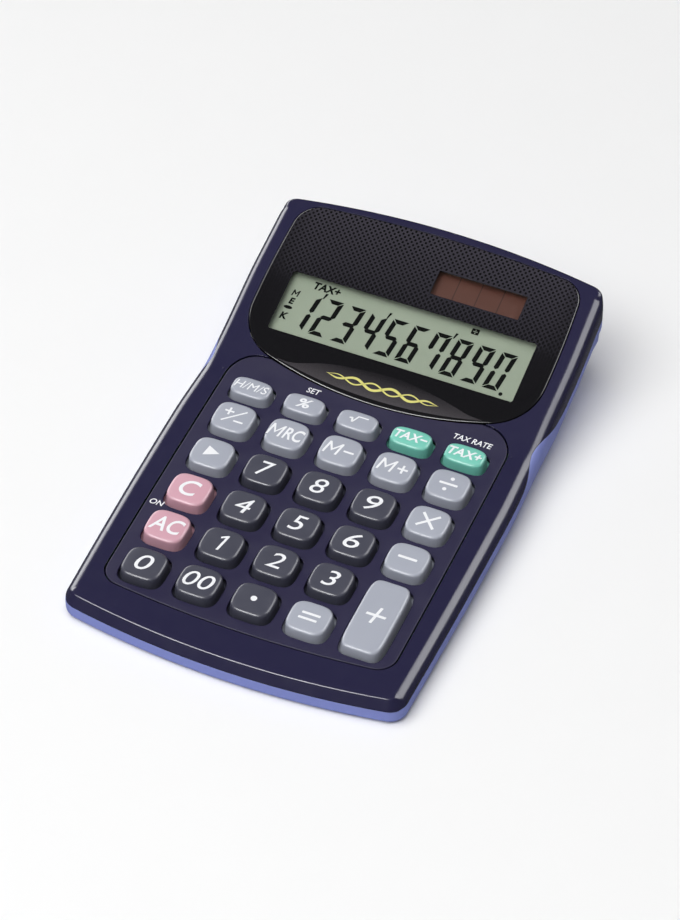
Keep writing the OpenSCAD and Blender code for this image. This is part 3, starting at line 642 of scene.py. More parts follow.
def build_lower_case():
    """The light blue bottom shell, with its band, grips, wedge, screw recesses and seats for the feet."""
    outline = case_outline()
    nrm = normals(outline)
    front, rear = end_weights(outline)
    y = outline[:, 1]
    start = parting_drops(outline)
    rings = []

    def ring(further_in, drop, height=None):
        inset = np.array([edge_at(*at) for at in zip(front, rear, drop)]) + further_in
        pts = outline + nrm * inset[:, None]
        rings.append(lift(pts, z_top(y) - drop if height is None else height(pts)))
        return pts

    # A lip inside the parting line, the band, then its round lower edge
    for further_in, below in ((2.0, 1.6), (1.9, 0.1), (0.22, 0.06), (0.06, 0.12)):
        ring(further_in, start + below)
    stop = z_top(y) - z_band(y)
    for k in np.linspace(0, 1, 12):
        d0, d1 = start + 0.3, stop - BAND_R
        ring(0.0, d0 + (d1 - d0) * k)
    quarter = np.linspace(0, math.pi / 2, 6)
    for a in quarter[1:-1]:
        ring(BAND_R * (1 - math.cos(a)), stop - BAND_R + BAND_R * math.sin(a))
    last = ring(BAND_R, stop, under)
    s = Shape()
    s.loft([from_deck(r) for r in rings])
    holes = [disc(*at, SCREW_BORE_R, 32) for at in CASE_SCREWS]
    feet = [disc(*to_deck((*at, FOOT_MIDDLE))[:2], FOOT_R, 40) for at in FEET]
    xs = np.concatenate([np.arange(-44, 45, 4.0), np.arange(44, 54, 0.45), -np.arange(44, 54, 0.45)])
    ys = np.concatenate([np.arange(-52, 64, 4.0), np.arange(64, 100, 2.0), np.arange(100, 115, 0.45)])
    extra = [(a, b) for a in xs for b in ys]
    s.fill([last], holes + feet, under, extra, from_deck)
    for h in holes:
        c = h.mean(0)
        seat = z_part(c[1]) - SCREW_SEAT
        s.loft([from_deck(lift(h, under(h))), from_deck(lift(h, seat))])
        s.fan(from_deck(lift(h, seat)), from_deck([(c[0], c[1], seat)])[0])
    for h in feet:
        c = h.mean(0)
        s.loft([from_deck(lift(h, under(h))), from_deck(lift(h, under(h) + FOOT_SEAT))])
        s.fan(from_deck(lift(h, under(h) + FOOT_SEAT)), from_deck([(*c, foot_plane(c[1]) + FOOT_SEAT)])[0])
    obj = s.make("lower_case_shell", mats=[PERIWINKLE], sharp=60)
    bevel(obj, 0.25, 2, 60)
    weighted(obj)
    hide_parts("lower_case")


# ---------------------------------------------------------------- keys
KEY_DRAFT, KEY_CLEAR, KEY_FLANGE = 0.45, 0.4, 0.7
FLANGE_TOP = -2.55
EDGE_R, CROWN = 0.9, 0.12                        # round top edge, and how much higher the middle is
TALL_KEY = 20                                    # a key with a deeper top than this is the tall one
KEY_POWER, HOLE_POWER, TALL_POWER = 3.5, 3.8, 6  # squareness of caps, of their holes, and of the tall key


def key_facts(node):
    """Centre in the deck's plane, top width and top depth of a key, from its CAD box."""
    lo, hi = box_mm(node)
    side = 2 * (KEY_DRAFT + KEY_CLEAR + KEY_FLANGE)
    w = hi[0] - lo[0] - side
    # The flange's underside reaches furthest back, and its top edge furthest forward
    c, t = math.cos(DECK_TILT), math.sin(DECK_TILT)
    rear = (hi[1] - DECK_O[1] + KEY_BOTTOM * t) / c
    front = (lo[1] - DECK_O[1] + FLANGE_TOP * t) / c
    return (lo[0] + hi[0]) / 2, (front + rear) / 2, w, rear - front - side


def build_key(node, body, mat):
    """A cap with a crowned top, a round edge, drafted sides and a flange, hollow underneath."""
    cx, cy, w, d = key_facts(node)
    power = TALL_POWER if d > TALL_KEY else KEY_POWER
    n = 96

    def ring(g, z):
        return from_deck(lift(squircle(w + 2 * g, d + 2 * g, power, n) + (cx, cy), z))

    flat = EDGE_R * 0.9
    rings = []
    for k in (0.12, 0.3, 0.5, 0.68, 0.82, 0.92, 1.0):
        base = squircle(w - 2 * flat, d - 2 * flat, power, n) * k
        rings.append(from_deck(lift(base + (cx, cy), KEY_TOP - CROWN * k ** 4)))
    for a in np.linspace(0, math.pi / 2, 8)[1:]:
        fall = 1 - math.cos(a)
        rings.append(ring(0.12 * fall - flat * (1 - math.sin(a)), KEY_TOP - CROWN - EDGE_R * fall))
    flange = KEY_DRAFT + KEY_CLEAR + KEY_FLANGE
    # Heights and outward growth of the drafted sides, the flange and the hollow underneath
    for z, g in ((0.9, 0.22), (-0.4, 0.33), (FLANGE_TOP + 0.25, KEY_DRAFT), (FLANGE_TOP, KEY_DRAFT + 0.1),
                 (FLANGE_TOP, flange), (KEY_BOTTOM, flange), (KEY_BOTTOM, -0.8), (1.0, -1.0), (1.4, -1.4)):
        rings.append(ring(g, z))
    s = Shape()
    s.loft(rings)
    s.fan(rings[0], from_deck([(cx, cy, KEY_TOP)])[0])
    s.fan(rings[-1], from_deck([(cx, cy, 1.4)])[0])
    obj = s.make(node + "_cap", body, [mat], sharp=50)
    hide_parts(node)


# ---------------------------------------------------------------- key panel
PANEL_EDGE_R, PANEL_T = 0.35, 0.8
PANEL_GAP, HOLE_GAP = 0.15, 0.1


def hole_loop(node, g):
    """Outline of a key's hole in the panel, made larger all round by g."""
    cx, cy, w, d = key_facts(node)
    g += KEY_DRAFT + KEY_CLEAR
    return squircle(w + 2 * g, d + 2 * g, TALL_POWER if d > TALL_KEY else HOLE_POWER) + (cx, cy)


def bitten_panel():
    """Outline of the panel with the window's bite taken out, by walking both outlines."""
    a = panel_outline(PANEL_GAP, (30, 12, 90, 24, 60))
    b = head_in_deck(lift(lens_outline(-TOP_GAP, (80, 50, 60, 20, 40)), 0))[:, :2]
    a_out = ~inside(a, b)
    b_in = inside(b, a)
    i0 = next(i for i in range(len(a)) if a_out[i] and not a_out[(i + 1) % len(a)])
    i1 = next(i for i in range(len(a)) if not a_out[i] and a_out[(i + 1) % len(a)])
    keep = [a[j % len(a)] for j in range(i1 + 1, i0 + 1 + len(a))]
    run = [q for q, ok in zip(np.roll(b, len(b) // 2, 0), np.roll(b_in, len(b) // 2)) if ok]
    return np.array(keep + run[::-1])


def build_key_panel(keys):
    """A plate round the keys with rounded edges, which follows the bend towards the head."""
    s = Shape()
    r = PANEL_EDGE_R
    rim = resample(bitten_panel(), 480)
    rim_in = rim + normals(rim) * r
    loops = [hole_loop(k, HOLE_GAP) for k in keys]
    loops_out = [hole_loop(k, HOLE_GAP + r) for k in keys]
    bend_y = np.linspace(HINGE_Y - 4.5, HINGE_Y + 4.5, 13)
    extra = [(x, y) for y in bend_y for x in np.arange(-43, 44, 2.0)]
    s.fill([rim_in], loops_out, on_top, extra, from_deck)
    for a, b in zip([rim_in] + loops_out, [rim] + loops):
        rings = []
        for t in np.linspace(0, 1, 5):
            ang = t * math.pi / 2
            p = a + (b - a) * math.sin(ang)
            rings.append(from_deck(lift(p, z_top(p[:, 1]) - r * (1 - math.cos(ang)))))
        rings.append(from_deck(lift(b, z_top(b[:, 1]) - PANEL_T)))
        s.loft(rings)
    s.fill([rim], loops, lambda p: on_top(p) - PANEL_T, extra, from_deck)
    obj = s.make("key_panel_plate", mats=[PANEL])
    weighted(obj)
    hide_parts("key_panel")


# ---------------------------------------------------------------- lettering
CAP_SHARE = 0.729       # height of a capital in the built-in font, for size 1
SLANT = 0.2             # lean of the key legends, as a slope
LEGEND_T, LEGEND_PROUD = 0.16, 0.02


def rounded_rect(x0, y0, x1, y1, r, n=6):
    pts = []
    corners = ((x1 - r, y0 + r), (x1 - r, y1 - r), (x0 + r, y1 - r), (x0 + r, y0 + r))
    for i, centre in enumerate(corners):
        pts.append(arc(centre, r, (i - 1) * math.pi / 2, i * math.pi / 2, n))
    return np.concatenate(pts)


def disc(cx, cy, r, n=20):
    return arc((cx, cy), r, 0, 2 * math.pi, n)[:-1]


def bar(x0, y0, x1, y1, w):
    """A straight stroke with slightly rounded ends."""
    a, b = np.array([x0, y0], float), np.array([x1, y1], float)
    d = (b - a) / np.linalg.norm(b - a)
    s = np.array([-d[1], d[0]])
    h, c = w / 2, w * 0.18
    return np.array([a - s * (h - c), a + d * c - s * h, b - d * c - s * h, b - s * (h - c),
                     b + s * (h - c), b - d * c + s * h, a + d * c + s * h, a + s * (h - c)])


def cross(cx, cy, size, w, turn=0.0, size_y=None):
    """Outline of a plus sign, turned by an angle."""
    h, k = size / 2, w / 2
    v = (size_y or size) / 2
    p = np.array([(-k, -v), (k, -v), (k, -k), (h, -k), (h, k), (k, k), (k, v), (-k, v), (-k, k), (-h, k),
                  (-h, -k), (-k, -k)])
    c, s = math.cos(turn), math.sin(turn)
    return p @ np.array([[c, s], [-s, c]]) + (cx, cy)


def slanted(p, slope=SLANT):
    p = np.array(p, float)
    p[:, 0] += p[:, 1] * slope
    return p


def lettering(text, cap, slant=SLANT, weight=0.0, width=None):
    """Flat mesh of a short text in mm, centred, with capitals of the given height."""
    curve = bpy.data.curves.new("lettering", "FONT")
    curve.body = text
    curve.size = 1.0
    curve.resolution_u = 5
    curve.offset = weight / cap
    obj = bpy.data.objects.new("lettering", curve)
    bpy.context.collection.objects.link(obj)
    bpy.context.view_layer.update()
    mesh = bpy.data.meshes.new_from_object(obj.evaluated_get(bpy.context.evaluated_depsgraph_get()))
    p = np.array([v.co[:2] for v in mesh.vertices]) * cap / CAP_SHARE
    faces = []
    for poly in mesh.polygons:
        f = tuple(poly.vertices)
        area2 = sum(p[a][0] * p[b][1] - p[b][0] * p[a][1] for a, b in zip(f, f[1:] + f[:1]))
        faces.append(f if area2 > 0 else f[::-1])
    bpy.data.objects.remove(obj)
    bpy.data.curves.remove(curve)
    bpy.data.meshes.remove(mesh)
    p = slanted(p, slant)
    if width:
        p[:, 0] *= width / np.ptp(p[:, 0])
    p -= (p.min(0) + p.max(0)) / 2
    return p, faces


def letter_m(cap, width, stroke):
    """Outline of a capital M centred on the origin."""
    w, h = width / 2, cap / 2
    shoulder = h - 1.9 * stroke
    middle = -shoulder * 0.55
    half = [(0, middle - stroke), (w - stroke, shoulder), (w - stroke, -h), (w, -h), (w, h),
            (w - stroke * 0.9, h)]
    mirrored = [(-x, y) for x, y in half[:0:-1]]
    return np.array(half + [(0, middle + stroke * 0.5)] + mirrored)


# What each key shows, in mm from the key's centre: text with its height, width and shift, and strokes
LEGENDS = {
    "key_hours": ("H/M/S", 3.1, 10.6, 0), "key_percent": ("%", 3.6, 4.4, 0),
    "key_tax_minus": ("TAX\u2212", 3.1, 10.2, 0), "key_tax_plus": ("TAX+", 3.1, 10.4, 0),
    "key_memory_recall": ("RC", 4.7, 6.1, 2.2),
    "key_clear": ("C", 6.0, 5.9, 0), "key_all_clear": ("AC", 5.6, 9.8, 0),
    "key_00": ("00", 5.8, 9.0, 0), "key_0": ("0", 6.0, 4.9, 0), "key_2": ("2", 6.0, 4.7, 0),
    "key_3": ("3", 6.0, 4.5, 0), "key_4": ("4", 6.0, 4.8, 0), "key_5": ("5", 6.0, 4.7, 0),
    "key_6": ("6", 6.0, 4.7, 0), "key_7": ("7", 6.0, 4.6, 0), "key_8": ("8", 6.0, 4.7, 0),
    "key_9": ("9", 6.0, 4.7, 0),
}
MEMORY_M = slanted(letter_m(4.7, 4.5, 0.66)) + (-2.2, 0)
STROKES = {
    "key_memory_recall": [slanted(letter_m(4.7, 4.0, 0.62)) + (-3.3, 0)],
    "key_memory_minus": [MEMORY_M, bar(1.1, -0.1, 4.3, -0.1, 0.66)],
    "key_memory_plus": [MEMORY_M, cross(2.7, -0.1, 3.2, 0.66)],
    "key_1": [slanted([(0.1, -3), (0.85, -3), (0.85, 3), (0.3, 3), (-1.35, 1.95), (-1.05, 1.35),
                       (0.1, 2.1)])],
    "key_divide": [bar(-2.8, 0, 2.8, 0, 0.8), disc(0.45, 2.2, 0.62), disc(-0.45, -2.2, 0.62)],
    "key_multiply": [slanted(cross(0, 0, 7.4, 0.8, math.radians(45)), 0.1)],
    "key_minus": [bar(-2.9, 0, 2.9, 0, 0.85)],
    "key_plus": [slanted(cross(0, 0, 5.9, 0.85, 0, 6.2))],
    "key_equals": [bar(-2.6, 1.0, 3.0, 1.0, 0.8), bar(-3.0, -1.0, 2.6, -1.0, 0.8)],
    "key_point": [disc(0, 0, 0.95)],
    "key_backspace": [[(-2.2, -2.0), (2.4, 0), (-1.6, 2.0)]],
    "key_root": [bar(-2.6, 0.1, -1.7, 0.4, 0.5), bar(-1.8, 0.5, -1.3, -1.3, 0.6),
                 bar(-1.3, -1.3, 0.0, 1.5, 0.45), bar(-0.1, 1.35, 3.0, 1.35, 0.45)],
    "key_sign": [cross(-1.9, 1.5, 2.9, 0.6), bar(-3.0, -2.7, 3.2, 2.9, 0.5), bar(0.6, -1.7, 3.6, -1.7, 0.6)],
}


def build_legend(node, body):
    """A key's white mark, sunk into its cap and just proud of its top."""
    cx, cy = key_facts(node)[:2]
    s = Shape()
    top = KEY_TOP + LEGEND_PROUD

    def place(p):
        return from_deck(p + np.array([cx, cy, 0]))

    if node in LEGENDS:
        text, cap, width, shift = LEGENDS[node]
        # The font's M can't be thickened without breaking its face, and the digits are bold as they are
        weight = 0.0 if "M" in text or slot_of[node] == "key_dark" else 0.08
        p, faces = lettering(text, cap, weight=weight, width=width)
        s.slab(p + (shift, 0), faces, top, LEGEND_T, place)
    for p in STROKES.get(node, ()):
        s.polygon(p, top, LEGEND_T, place)
    s.make(node + "_legend", body, [INK], smooth=False, weld=1e-7)


DECK_MARKS = (("set", "SET", -17.4, 51.6, 1.9), ("tax_rate", "TAX RATE", 33.4, 51.5, 1.9),
              ("on", "ON", -41.6, -6.3, 2.0))


def build_deck_marks():
    """Small white words printed on the panel and the case beside the keys."""
    for name, text, x, y, cap in DECK_MARKS:
        p, faces = lettering(text, cap, weight=0.02)
        s = Shape()
        s.slab(p + (x, y), faces, lambda q: on_top(q) + 0.03, 0.12, from_deck)
        s.make("mark_" + name, mats=[INK], smooth=False, weld=1e-7)


# ---------------------------------------------------------------- display window
# All in the head's frame: x across, q up the slope from the bend
LENS_TOP, LENS_EDGE, LENS_BACK = WINDOW_TOP, 0.45, WINDOW_BACK
LCD_TOP = -2.3
LCD_OPENING = (-39.2, 16.1, 39.4, 37.0)
SOLAR_OPENING = (2.5, 42.9, 30.9, 51.4)
SOLAR_MID = ((SOLAR_OPENING[0] + SOLAR_OPENING[2]) / 2, (SOLAR_OPENING[1] + SOLAR_OPENING[3]) / 2)
SOLAR_HALF = (SOLAR_OPENING[2] - SOLAR_MID[0], SOLAR_OPENING[3] - SOLAR_MID[1])
FACET = [(-26.9, 7.3), (-16.7, 10.35), (-5.7, 11.8), (5.6, 12.15), (15.1, 11.0), (22.7, 9.4), (28.5, 7.9)]
FACET_ENDS, FACET_SLOPE = (-31.7, 33.2), 0.042
RIM_W, FRONT_RIM_W, FRONT_RIM_HALF = 0.45, 1.1, 36
OPENING_FLARE, OPENING_EDGE = 0.9, 0.15
LCD_CORNER, SOLAR_CORNER = 0.7, 0.3
DOT_X, DOT_Q = 1.7, 1.9                          # pitch of the printed dots


def smooth_line(points, n):
    """Catmull-Rom line through the points."""
    p = np.array(points, float)
    p = np.concatenate([[2 * p[0] - p[1]], p, [2 * p[-1] - p[-2]]])
    out = []
    for i in range(1, len(p) - 2):
        for t in np.arange(n) / n:
            a, b, c, d = p[i - 1], p[i], p[i + 1], p[i + 2]
            out.append(0.5 * (2 * b + (c - a) * t + (2 * a - 5 * b + 4 * c - d) * t * t
                              + (3 * b - a - 3 * c + d) * t ** 3))
    out.append(p[-2])
    return np.array(out)


def plane_mm(m, origin, axes):
    """Two sockets: position along the first two axes of a frame, in mm from its origin."""
    out = []
    for k in (0, 1):
        dot = m.node("VectorMath", operation="DOT_PRODUCT")
        m.link(m.coord, dot.inputs[0])
        dot.inputs[1].default_value = tuple(axes[:, k] / MM)
        out.append(m.math("SUBTRACT", dot.outputs["Value"], float(origin @ axes[:, k])))
    return out


def facet_material():
    """Black print on the window's lower facet, with a painted reflection that makes it paler towards its
    front edge.
    """
    m = Nodes("window_facet_painted_reflection")
    head_q = plane_mm(m, HEAD_O, R_HEAD)[1]
    speck = m.noise(3000, 2.0)
    # Painted reflection: paler towards the facet's front edge, standing in for the light the sloped facet
    # would mirror
    colour = m.mix(m.ramp(head_q, 3.5, 11.5, 0.0, 1.0), srgb(74, 70, 74), srgb(24, 22, 26))
    m.set(Base_Color=m.mix(m.ramp(speck, 0.35, 0.65, 0.0, 0.25), colour, srgb(18, 17, 20)))
    m.set(Roughness=m.ramp(speck, 0.3, 0.7, 0.18, 0.24))
    return m.mat


def print_material():
    """Grey print on the window with staggered dark dots, which turn into black stripes lower down."""
    m = Nodes("window_print")
    head_x, head_q = plane_mm(m, HEAD_O, R_HEAD)
    speck = m.noise(3000, 2.0)
    u = m.math("COSINE", m.math("MULTIPLY", head_x, 2 * math.pi / DOT_X))
    v = m.math("COSINE", m.math("MULTIPLY", head_q, 2 * math.pi / DOT_Q))
    dots = m.math("MULTIPLY", u, v)
    stripes = m.math("MULTIPLY", m.math("ABSOLUTE", u), 0.9)
    low = m.ramp(head_q, 30.0, 44.0, 1.0, 0.0)
    dots = m.math("MULTIPLY", dots, m.math("SUBTRACT", 1.0, low))
    wave = m.math("ADD", dots, m.math("MULTIPLY", stripes, low))
    # No dots in a narrow border round the solar cell
    across = m.math("SUBTRACT", m.math("ABSOLUTE", m.math("SUBTRACT", head_x, SOLAR_MID[0])), SOLAR_HALF[0])
    along = m.math("SUBTRACT", m.math("ABSOLUTE", m.math("SUBTRACT", head_q, SOLAR_MID[1])), SOLAR_HALF[1])
    border = m.ramp(m.math("MAXIMUM", across, along), 0.35, 0.5, 0.0, 1.0)
    hole = m.math("MULTIPLY", m.ramp(wave, 0.12, 0.42, 0.0, 1.0), border)
    side = m.ramp(m.math("ABSOLUTE", head_x), 40.0, 46.5, 1.0, 0.55)
    fade = m.ramp(head_q, 18.0, 60.0, 0.0, 1.0)
    pale = m.math("MULTIPLY", m.math("POWER", fade, 1.25), side)
    grey = m.mix(pale, srgb(14, 14, 18), srgb(51, 48, 57))
    m.set(Base_Color=m.mix(hole, grey, srgb(10, 9, 13)))
    m.set(Roughness=m.ramp(speck, 0.3, 0.7, 0.17, 0.22))
    m.bump(hole, 0.12, 0.05)
    return m.mat


def build_lens():
    """The printed window: flat top, a sunk facet at the front, a round rim and two openings."""
    p = lens_outline()
    nrm = normals(p)
    # The rim widens in the middle of the front edge
    front = np.clip((nrm[:, 1] - 0.8) / 0.15, 0, 1)
    wide = RIM_W + FRONT_RIM_W * front * np.clip(1 - (p[:, 0] / FRONT_RIM_HALF) ** 2, 0, 1)
    inner = p + nrm * wide[:, None]
    i_r = next(i for i in range(len(p)) if inner[i, 0] > FACET_ENDS[1])
    i_l = next(i for i in range(len(p) - 1, 0, -1) if inner[i, 0] < FACET_ENDS[0])
    facet_top = smooth_line([inner[i_l]] + FACET + [inner[i_r]], 12)

    def drop(q):
        edge = np.interp(q[:, 0], facet_top[:, 0], facet_top[:, 1])
        low = (q[:, 1] < edge) & (q[:, 0] > facet_top[0, 0]) & (q[:, 0] < facet_top[-1, 0])
        return LENS_TOP - np.where(low, (edge - q[:, 1]) * FACET_SLOPE, 0)

    main = np.concatenate([inner[i_r:i_l + 1], facet_top[1:-1]])
    low_ring = np.concatenate([inner[i_l:], inner[:i_r + 1]])
    facet = np.concatenate([low_ring, facet_top[1:-1][::-1]])
    lcd = rounded_rect(*LCD_OPENING, LCD_CORNER)
    solar = rounded_rect(*SOLAR_OPENING, SOLAR_CORNER)
    s = Shape()
    s.fill([main], [lcd, solar], LENS_TOP, (), from_head)
    extra = [(x, q) for x in np.arange(-30, 33, 3.0) for q in np.arange(4, 12, 1.5)]
    s.fill([facet], [], drop, extra, from_head, 1)
    rings = []
    z_in = drop(inner)
    for a in np.linspace(0, math.pi / 2, 8):
        q = inner + (p - inner) * math.sin(a)
        rings.append(from_head(lift(q, z_in - LENS_EDGE * (1 - math.cos(a)))))
    rings.append(from_head(lift(p, LENS_BACK)))
    s.loft(rings)
    flared = []
    for hole in (lcd, solar):
        wide_hole = hole - normals(hole) * OPENING_FLARE
        flared.append(wide_hole)
        s.loft([from_head(lift(hole, LENS_TOP)), from_head(lift(hole, LENS_TOP - OPENING_EDGE)),
                from_head(lift(wide_hole, LENS_BACK))])
    s.fill([p], flared, LENS_BACK, (), from_head)
    obj = s.make("display_window_print", mats=[print_material(), facet_material()], sharp=30)
    # The facet's upper edge stays sharp
    ridge = {tuple(np.round(q, 2)) for q in from_head(lift(facet_top, LENS_TOP))}
    on_ridge = [tuple(np.round(np.array(v.co) / MM, 2)) in ridge for v in obj.data.vertices]
    flags = obj.data.attributes.get("sharp_edge") or obj.data.attributes.new("sharp_edge", "BOOLEAN", "EDGE")
    for e in obj.data.edges:
        if on_ridge[e.vertices[0]] and on_ridge[e.vertices[1]]:
            flags.data[e.index].value = True
    weighted(obj)
    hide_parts("display_window")


def build_panes():
    """Clear panes over the display and the solar cell, thin enough not to veil them."""
    m = Nodes("clear_pane")
    n = m.noise(200, 2.0)
    m.set(Base_Color=m.mix(n, (0.01, 0.012, 0.011, 1), (0.02, 0.022, 0.021, 1)))
    m.set(Roughness=m.ramp(n, 0.3, 0.7, 0.04, 0.07))
    m.set(Alpha=0.06)
    for name, box, r in (("lcd_pane", LCD_OPENING, LCD_CORNER), ("solar_pane", SOLAR_OPENING, SOLAR_CORNER)):
        s = Shape()
        s.polygon(rounded_rect(*box, r), LENS_TOP - 0.02, 0.12, from_head)
        obj = s.make(name, mats=[m.mat], smooth=False)


# ---------------------------------------------------------------- display
# Segments a to f run clockwise from the top, and g is the middle one
SEGMENTS = {"0": "abcdef", "1": "bc", "2": "abdeg", "3": "abcdg", "4": "bcfg", "5": "acdfg", "6": "acdefg",
            "7": "abcf", "8": "abcdefg", "9": "abcdfg"}
DIGIT_W, DIGIT_H, SEG_T, SEG_GAP, LCD_SLANT = 5.0, 13.2, 1.5, 0.1, 0.14
DIGIT_X = (-31.5, -24.5, -17.3, -10.2, -3.4, 3.5, 10.6, 17.6, 24.6, 31.6)
DIGIT_Q = 26.0
INK_TOP, INK_T = LCD_TOP + 0.03, 0.02
KNOCKOUT_TOP = LCD_TOP + 0.045


def segment(name):
    """Corner points of one mitred segment of a digit centred on the origin."""
    w, h, t, g = DIGIT_W / 2, DIGIT_H / 2, SEG_T, SEG_GAP
    k = t * 0.48
    if name in "ad":
        y = 1 if name == "a" else -1
        return [(-w + g, y * h), (w - g, y * h), (w - t, y * (h - t + g)), (-w + t, y * (h - t + g))]
    if name == "g":
        tip = w - 0.5 - g
        return [(-tip, 0), (k - tip, k), (tip - k, k), (tip, 0), (tip - k, -k), (k - tip, -k)]
    x = 1 if name in "bc" else -1
    y = 1 if name in "bf" else -1
    return [(x * w, y * (h - 0.3 - g)), (x * (w - t), y * (h - t - g)), (x * (w - t), y * (k + g)),
            (x * (w - t / 2), y * (g + 0.12)), (x * w, y * (k + g))]


def build_lcd():
    """The digits and signs that the display shows, as thin black shapes just above its face."""
    ink = Nodes("lcd_ink")
    n = ink.noise(900, 2.0)
    ink.set(Base_Color=ink.mix(n, srgb(3, 4, 4), srgb(7, 8, 8)))
    ink.set(Roughness=ink.ramp(n, 0.3, 0.7, 0.4, 0.55))
    ink.bsdf.inputs["Specular IOR Level"].default_value = 0.1
    s = Shape()

    def flat(points):
        points = np.array(points, float)
        x, y = points[:, 0], points[:, 1]
        if (x * np.roll(y, -1) - np.roll(x, -1) * y).sum() < 0:
            points = points[::-1]
        s.polygon(points, INK_TOP, INK_T, from_head)

    for ch, x in zip("1234567890", DIGIT_X):
        for name in SEGMENTS[ch]:
            flat(slanted(segment(name), LCD_SLANT) + (x, DIGIT_Q))
    # Marks between the thousands, and the decimal point
    for x, q in ((-27.5, 33.1), (-6.7, 33.2), (14.7, 33.1)):
        flat(slanted([(-0.45, -1.1), (0.0, -1.1), (0.5, 0.9), (-0.3, 0.9)], LCD_SLANT) + (x, q))
    flat(disc(34.5, 18.9, 0.62))
    # Small signs round the digits
    for text, x, q, cap in (("TAX+", -28.0, 35.6, 2.5), ("E", -36.6, 28.3, 2.1), ("K", -37.0, 22.8, 2.3)):
        p, faces = lettering(text, cap, LCD_SLANT, 0.1)
        s.slab(p + (x, q), faces, INK_TOP, INK_T, from_head)
    flat(slanted(letter_m(2.2, 2.1, 0.42), LCD_SLANT) + (-36.5, 31.2))
    flat(disc(0, 0, 1, 19) * (1.4, 0.58) + (-36.9, 25.9))
    flat(rounded_rect(18.5, 35.3, 20.9, 37.3, 0.25, 3))
    s.make("lcd_segments", mats=[ink.mat], smooth=False, weld=1e-8)
    pale = Nodes("lcd_knockout")
    n = pale.noise(900, 2.0)
    pale.set(Base_Color=pale.mix(n, srgb(148, 160, 140), srgb(152, 164, 145)), Roughness=0.5)
    k = Shape()
    for p in (bar(19.0, 36.3, 20.4, 36.3, 0.32), disc(19.7, 36.88, 0.2, 10), disc(19.7, 35.72, 0.2, 10)):
        k.polygon(p, KNOCKOUT_TOP, INK_T, from_head)
    k.make("lcd_division_sign", mats=[pale.mat], smooth=False, weld=1e-8)


def lcd_material():
    """Grey-green face of the display."""
    m = Nodes("lcd_face")
    n = m.noise(60, 3.0)
    m.set(Base_Color=m.mix(n, srgb(156, 169, 148), srgb(161, 173, 153)))
    m.set(Roughness=m.ramp(n, 0.3, 0.7, 0.4, 0.5))
    m.bump(m.noise(4000, 2.0), 0.1, 0.01)
    return m.mat


def solar_material():
    """Brown glass with dark lines between its cells."""
    m = Nodes("solar_face")
    x = plane_mm(m, HEAD_O, R_HEAD)[0]
    cell_w = SOLAR_HALF[0] * 2 / 4
    cells = m.math("DIVIDE", m.math("SUBTRACT", x, SOLAR_OPENING[0] - 0.7), cell_w)
    to_line = m.math("ABSOLUTE", m.math("SUBTRACT", m.math("FRACT", m.math("ADD", cells, 0.5)), 0.5))
    line = m.ramp(to_line, 0.012, 0.022, 1.0, 0.0)
    n = m.noise(90, 3.0)
    body = m.mix(n, srgb(90, 54, 44), srgb(102, 64, 52))
    m.set(Base_Color=m.mix(line, body, srgb(48, 32, 28)))
    m.set(Roughness=m.ramp(n, 0.3, 0.7, 0.34, 0.38))
    return m.mat


def paint_cad():
    """Materials for the parts that are shown as the CAD has them."""
    paint = {
        "lcd": lcd_material(), "solar": solar_material(),
        "case_blue": BLUE, "panel_blue": PANEL,
        "case_periwinkle": PERIWINKLE, "black_rubber": RUBBER,
        "black_tape": plastic("foam_tape", srgb(28, 28, 30), 0.8, grain=0.5),
        "reflector": plastic("reflector_film", srgb(205, 208, 205), 0.3, grain=0.1),
        "white_plastic": plastic("white_plastic_inside", srgb(225, 225, 218), 0.45),
        "ribbon": plastic("ribbon_film", srgb(190, 140, 60), 0.4, grain=0.1, vary=0.15),
        "steel": metal("plated_steel", srgb(176, 178, 182), 0.3),
        "grey_rubber": plastic("rubber_sheet", srgb(130, 132, 134), 0.7),
        "board": plastic("green_board", srgb(38, 92, 60), 0.4, vary=0.12),
        "blob": plastic("epoxy_blob", srgb(18, 18, 19), 0.25),
        "capacitor": plastic("capacitor_body", srgb(150, 110, 70), 0.4),
        "resistor": plastic("resistor_body", srgb(24, 24, 26), 0.4),
        "cell": metal("cell_steel", srgb(200, 200, 204), 0.2),
        "contact": metal("nickel_contact", srgb(200, 196, 185), 0.25),
        "leads": plastic("wire_jacket", srgb(150, 40, 36), 0.4),
        "window": plastic("window_inside", srgb(24, 24, 28), 0.2),
        "key_grey": KEY_GREY, "key_dark": KEY_DARK, "key_pink": KEY_PINK, "key_green": KEY_GREEN,
    }
    for name, obj in frame["nodes"].items():
        mats = obj.data.materials
        for i in range(len(mats)):
            mats[i] = paint[slot_of[name]]


WAVE_HALF, WAVE_AT, WAVE_RISE = 18.0, (1.5, 7.4), 0.000733
WAVE_STRANDS = ((1.1, 0.8), (-1.1, 0.45))        # height and thickness


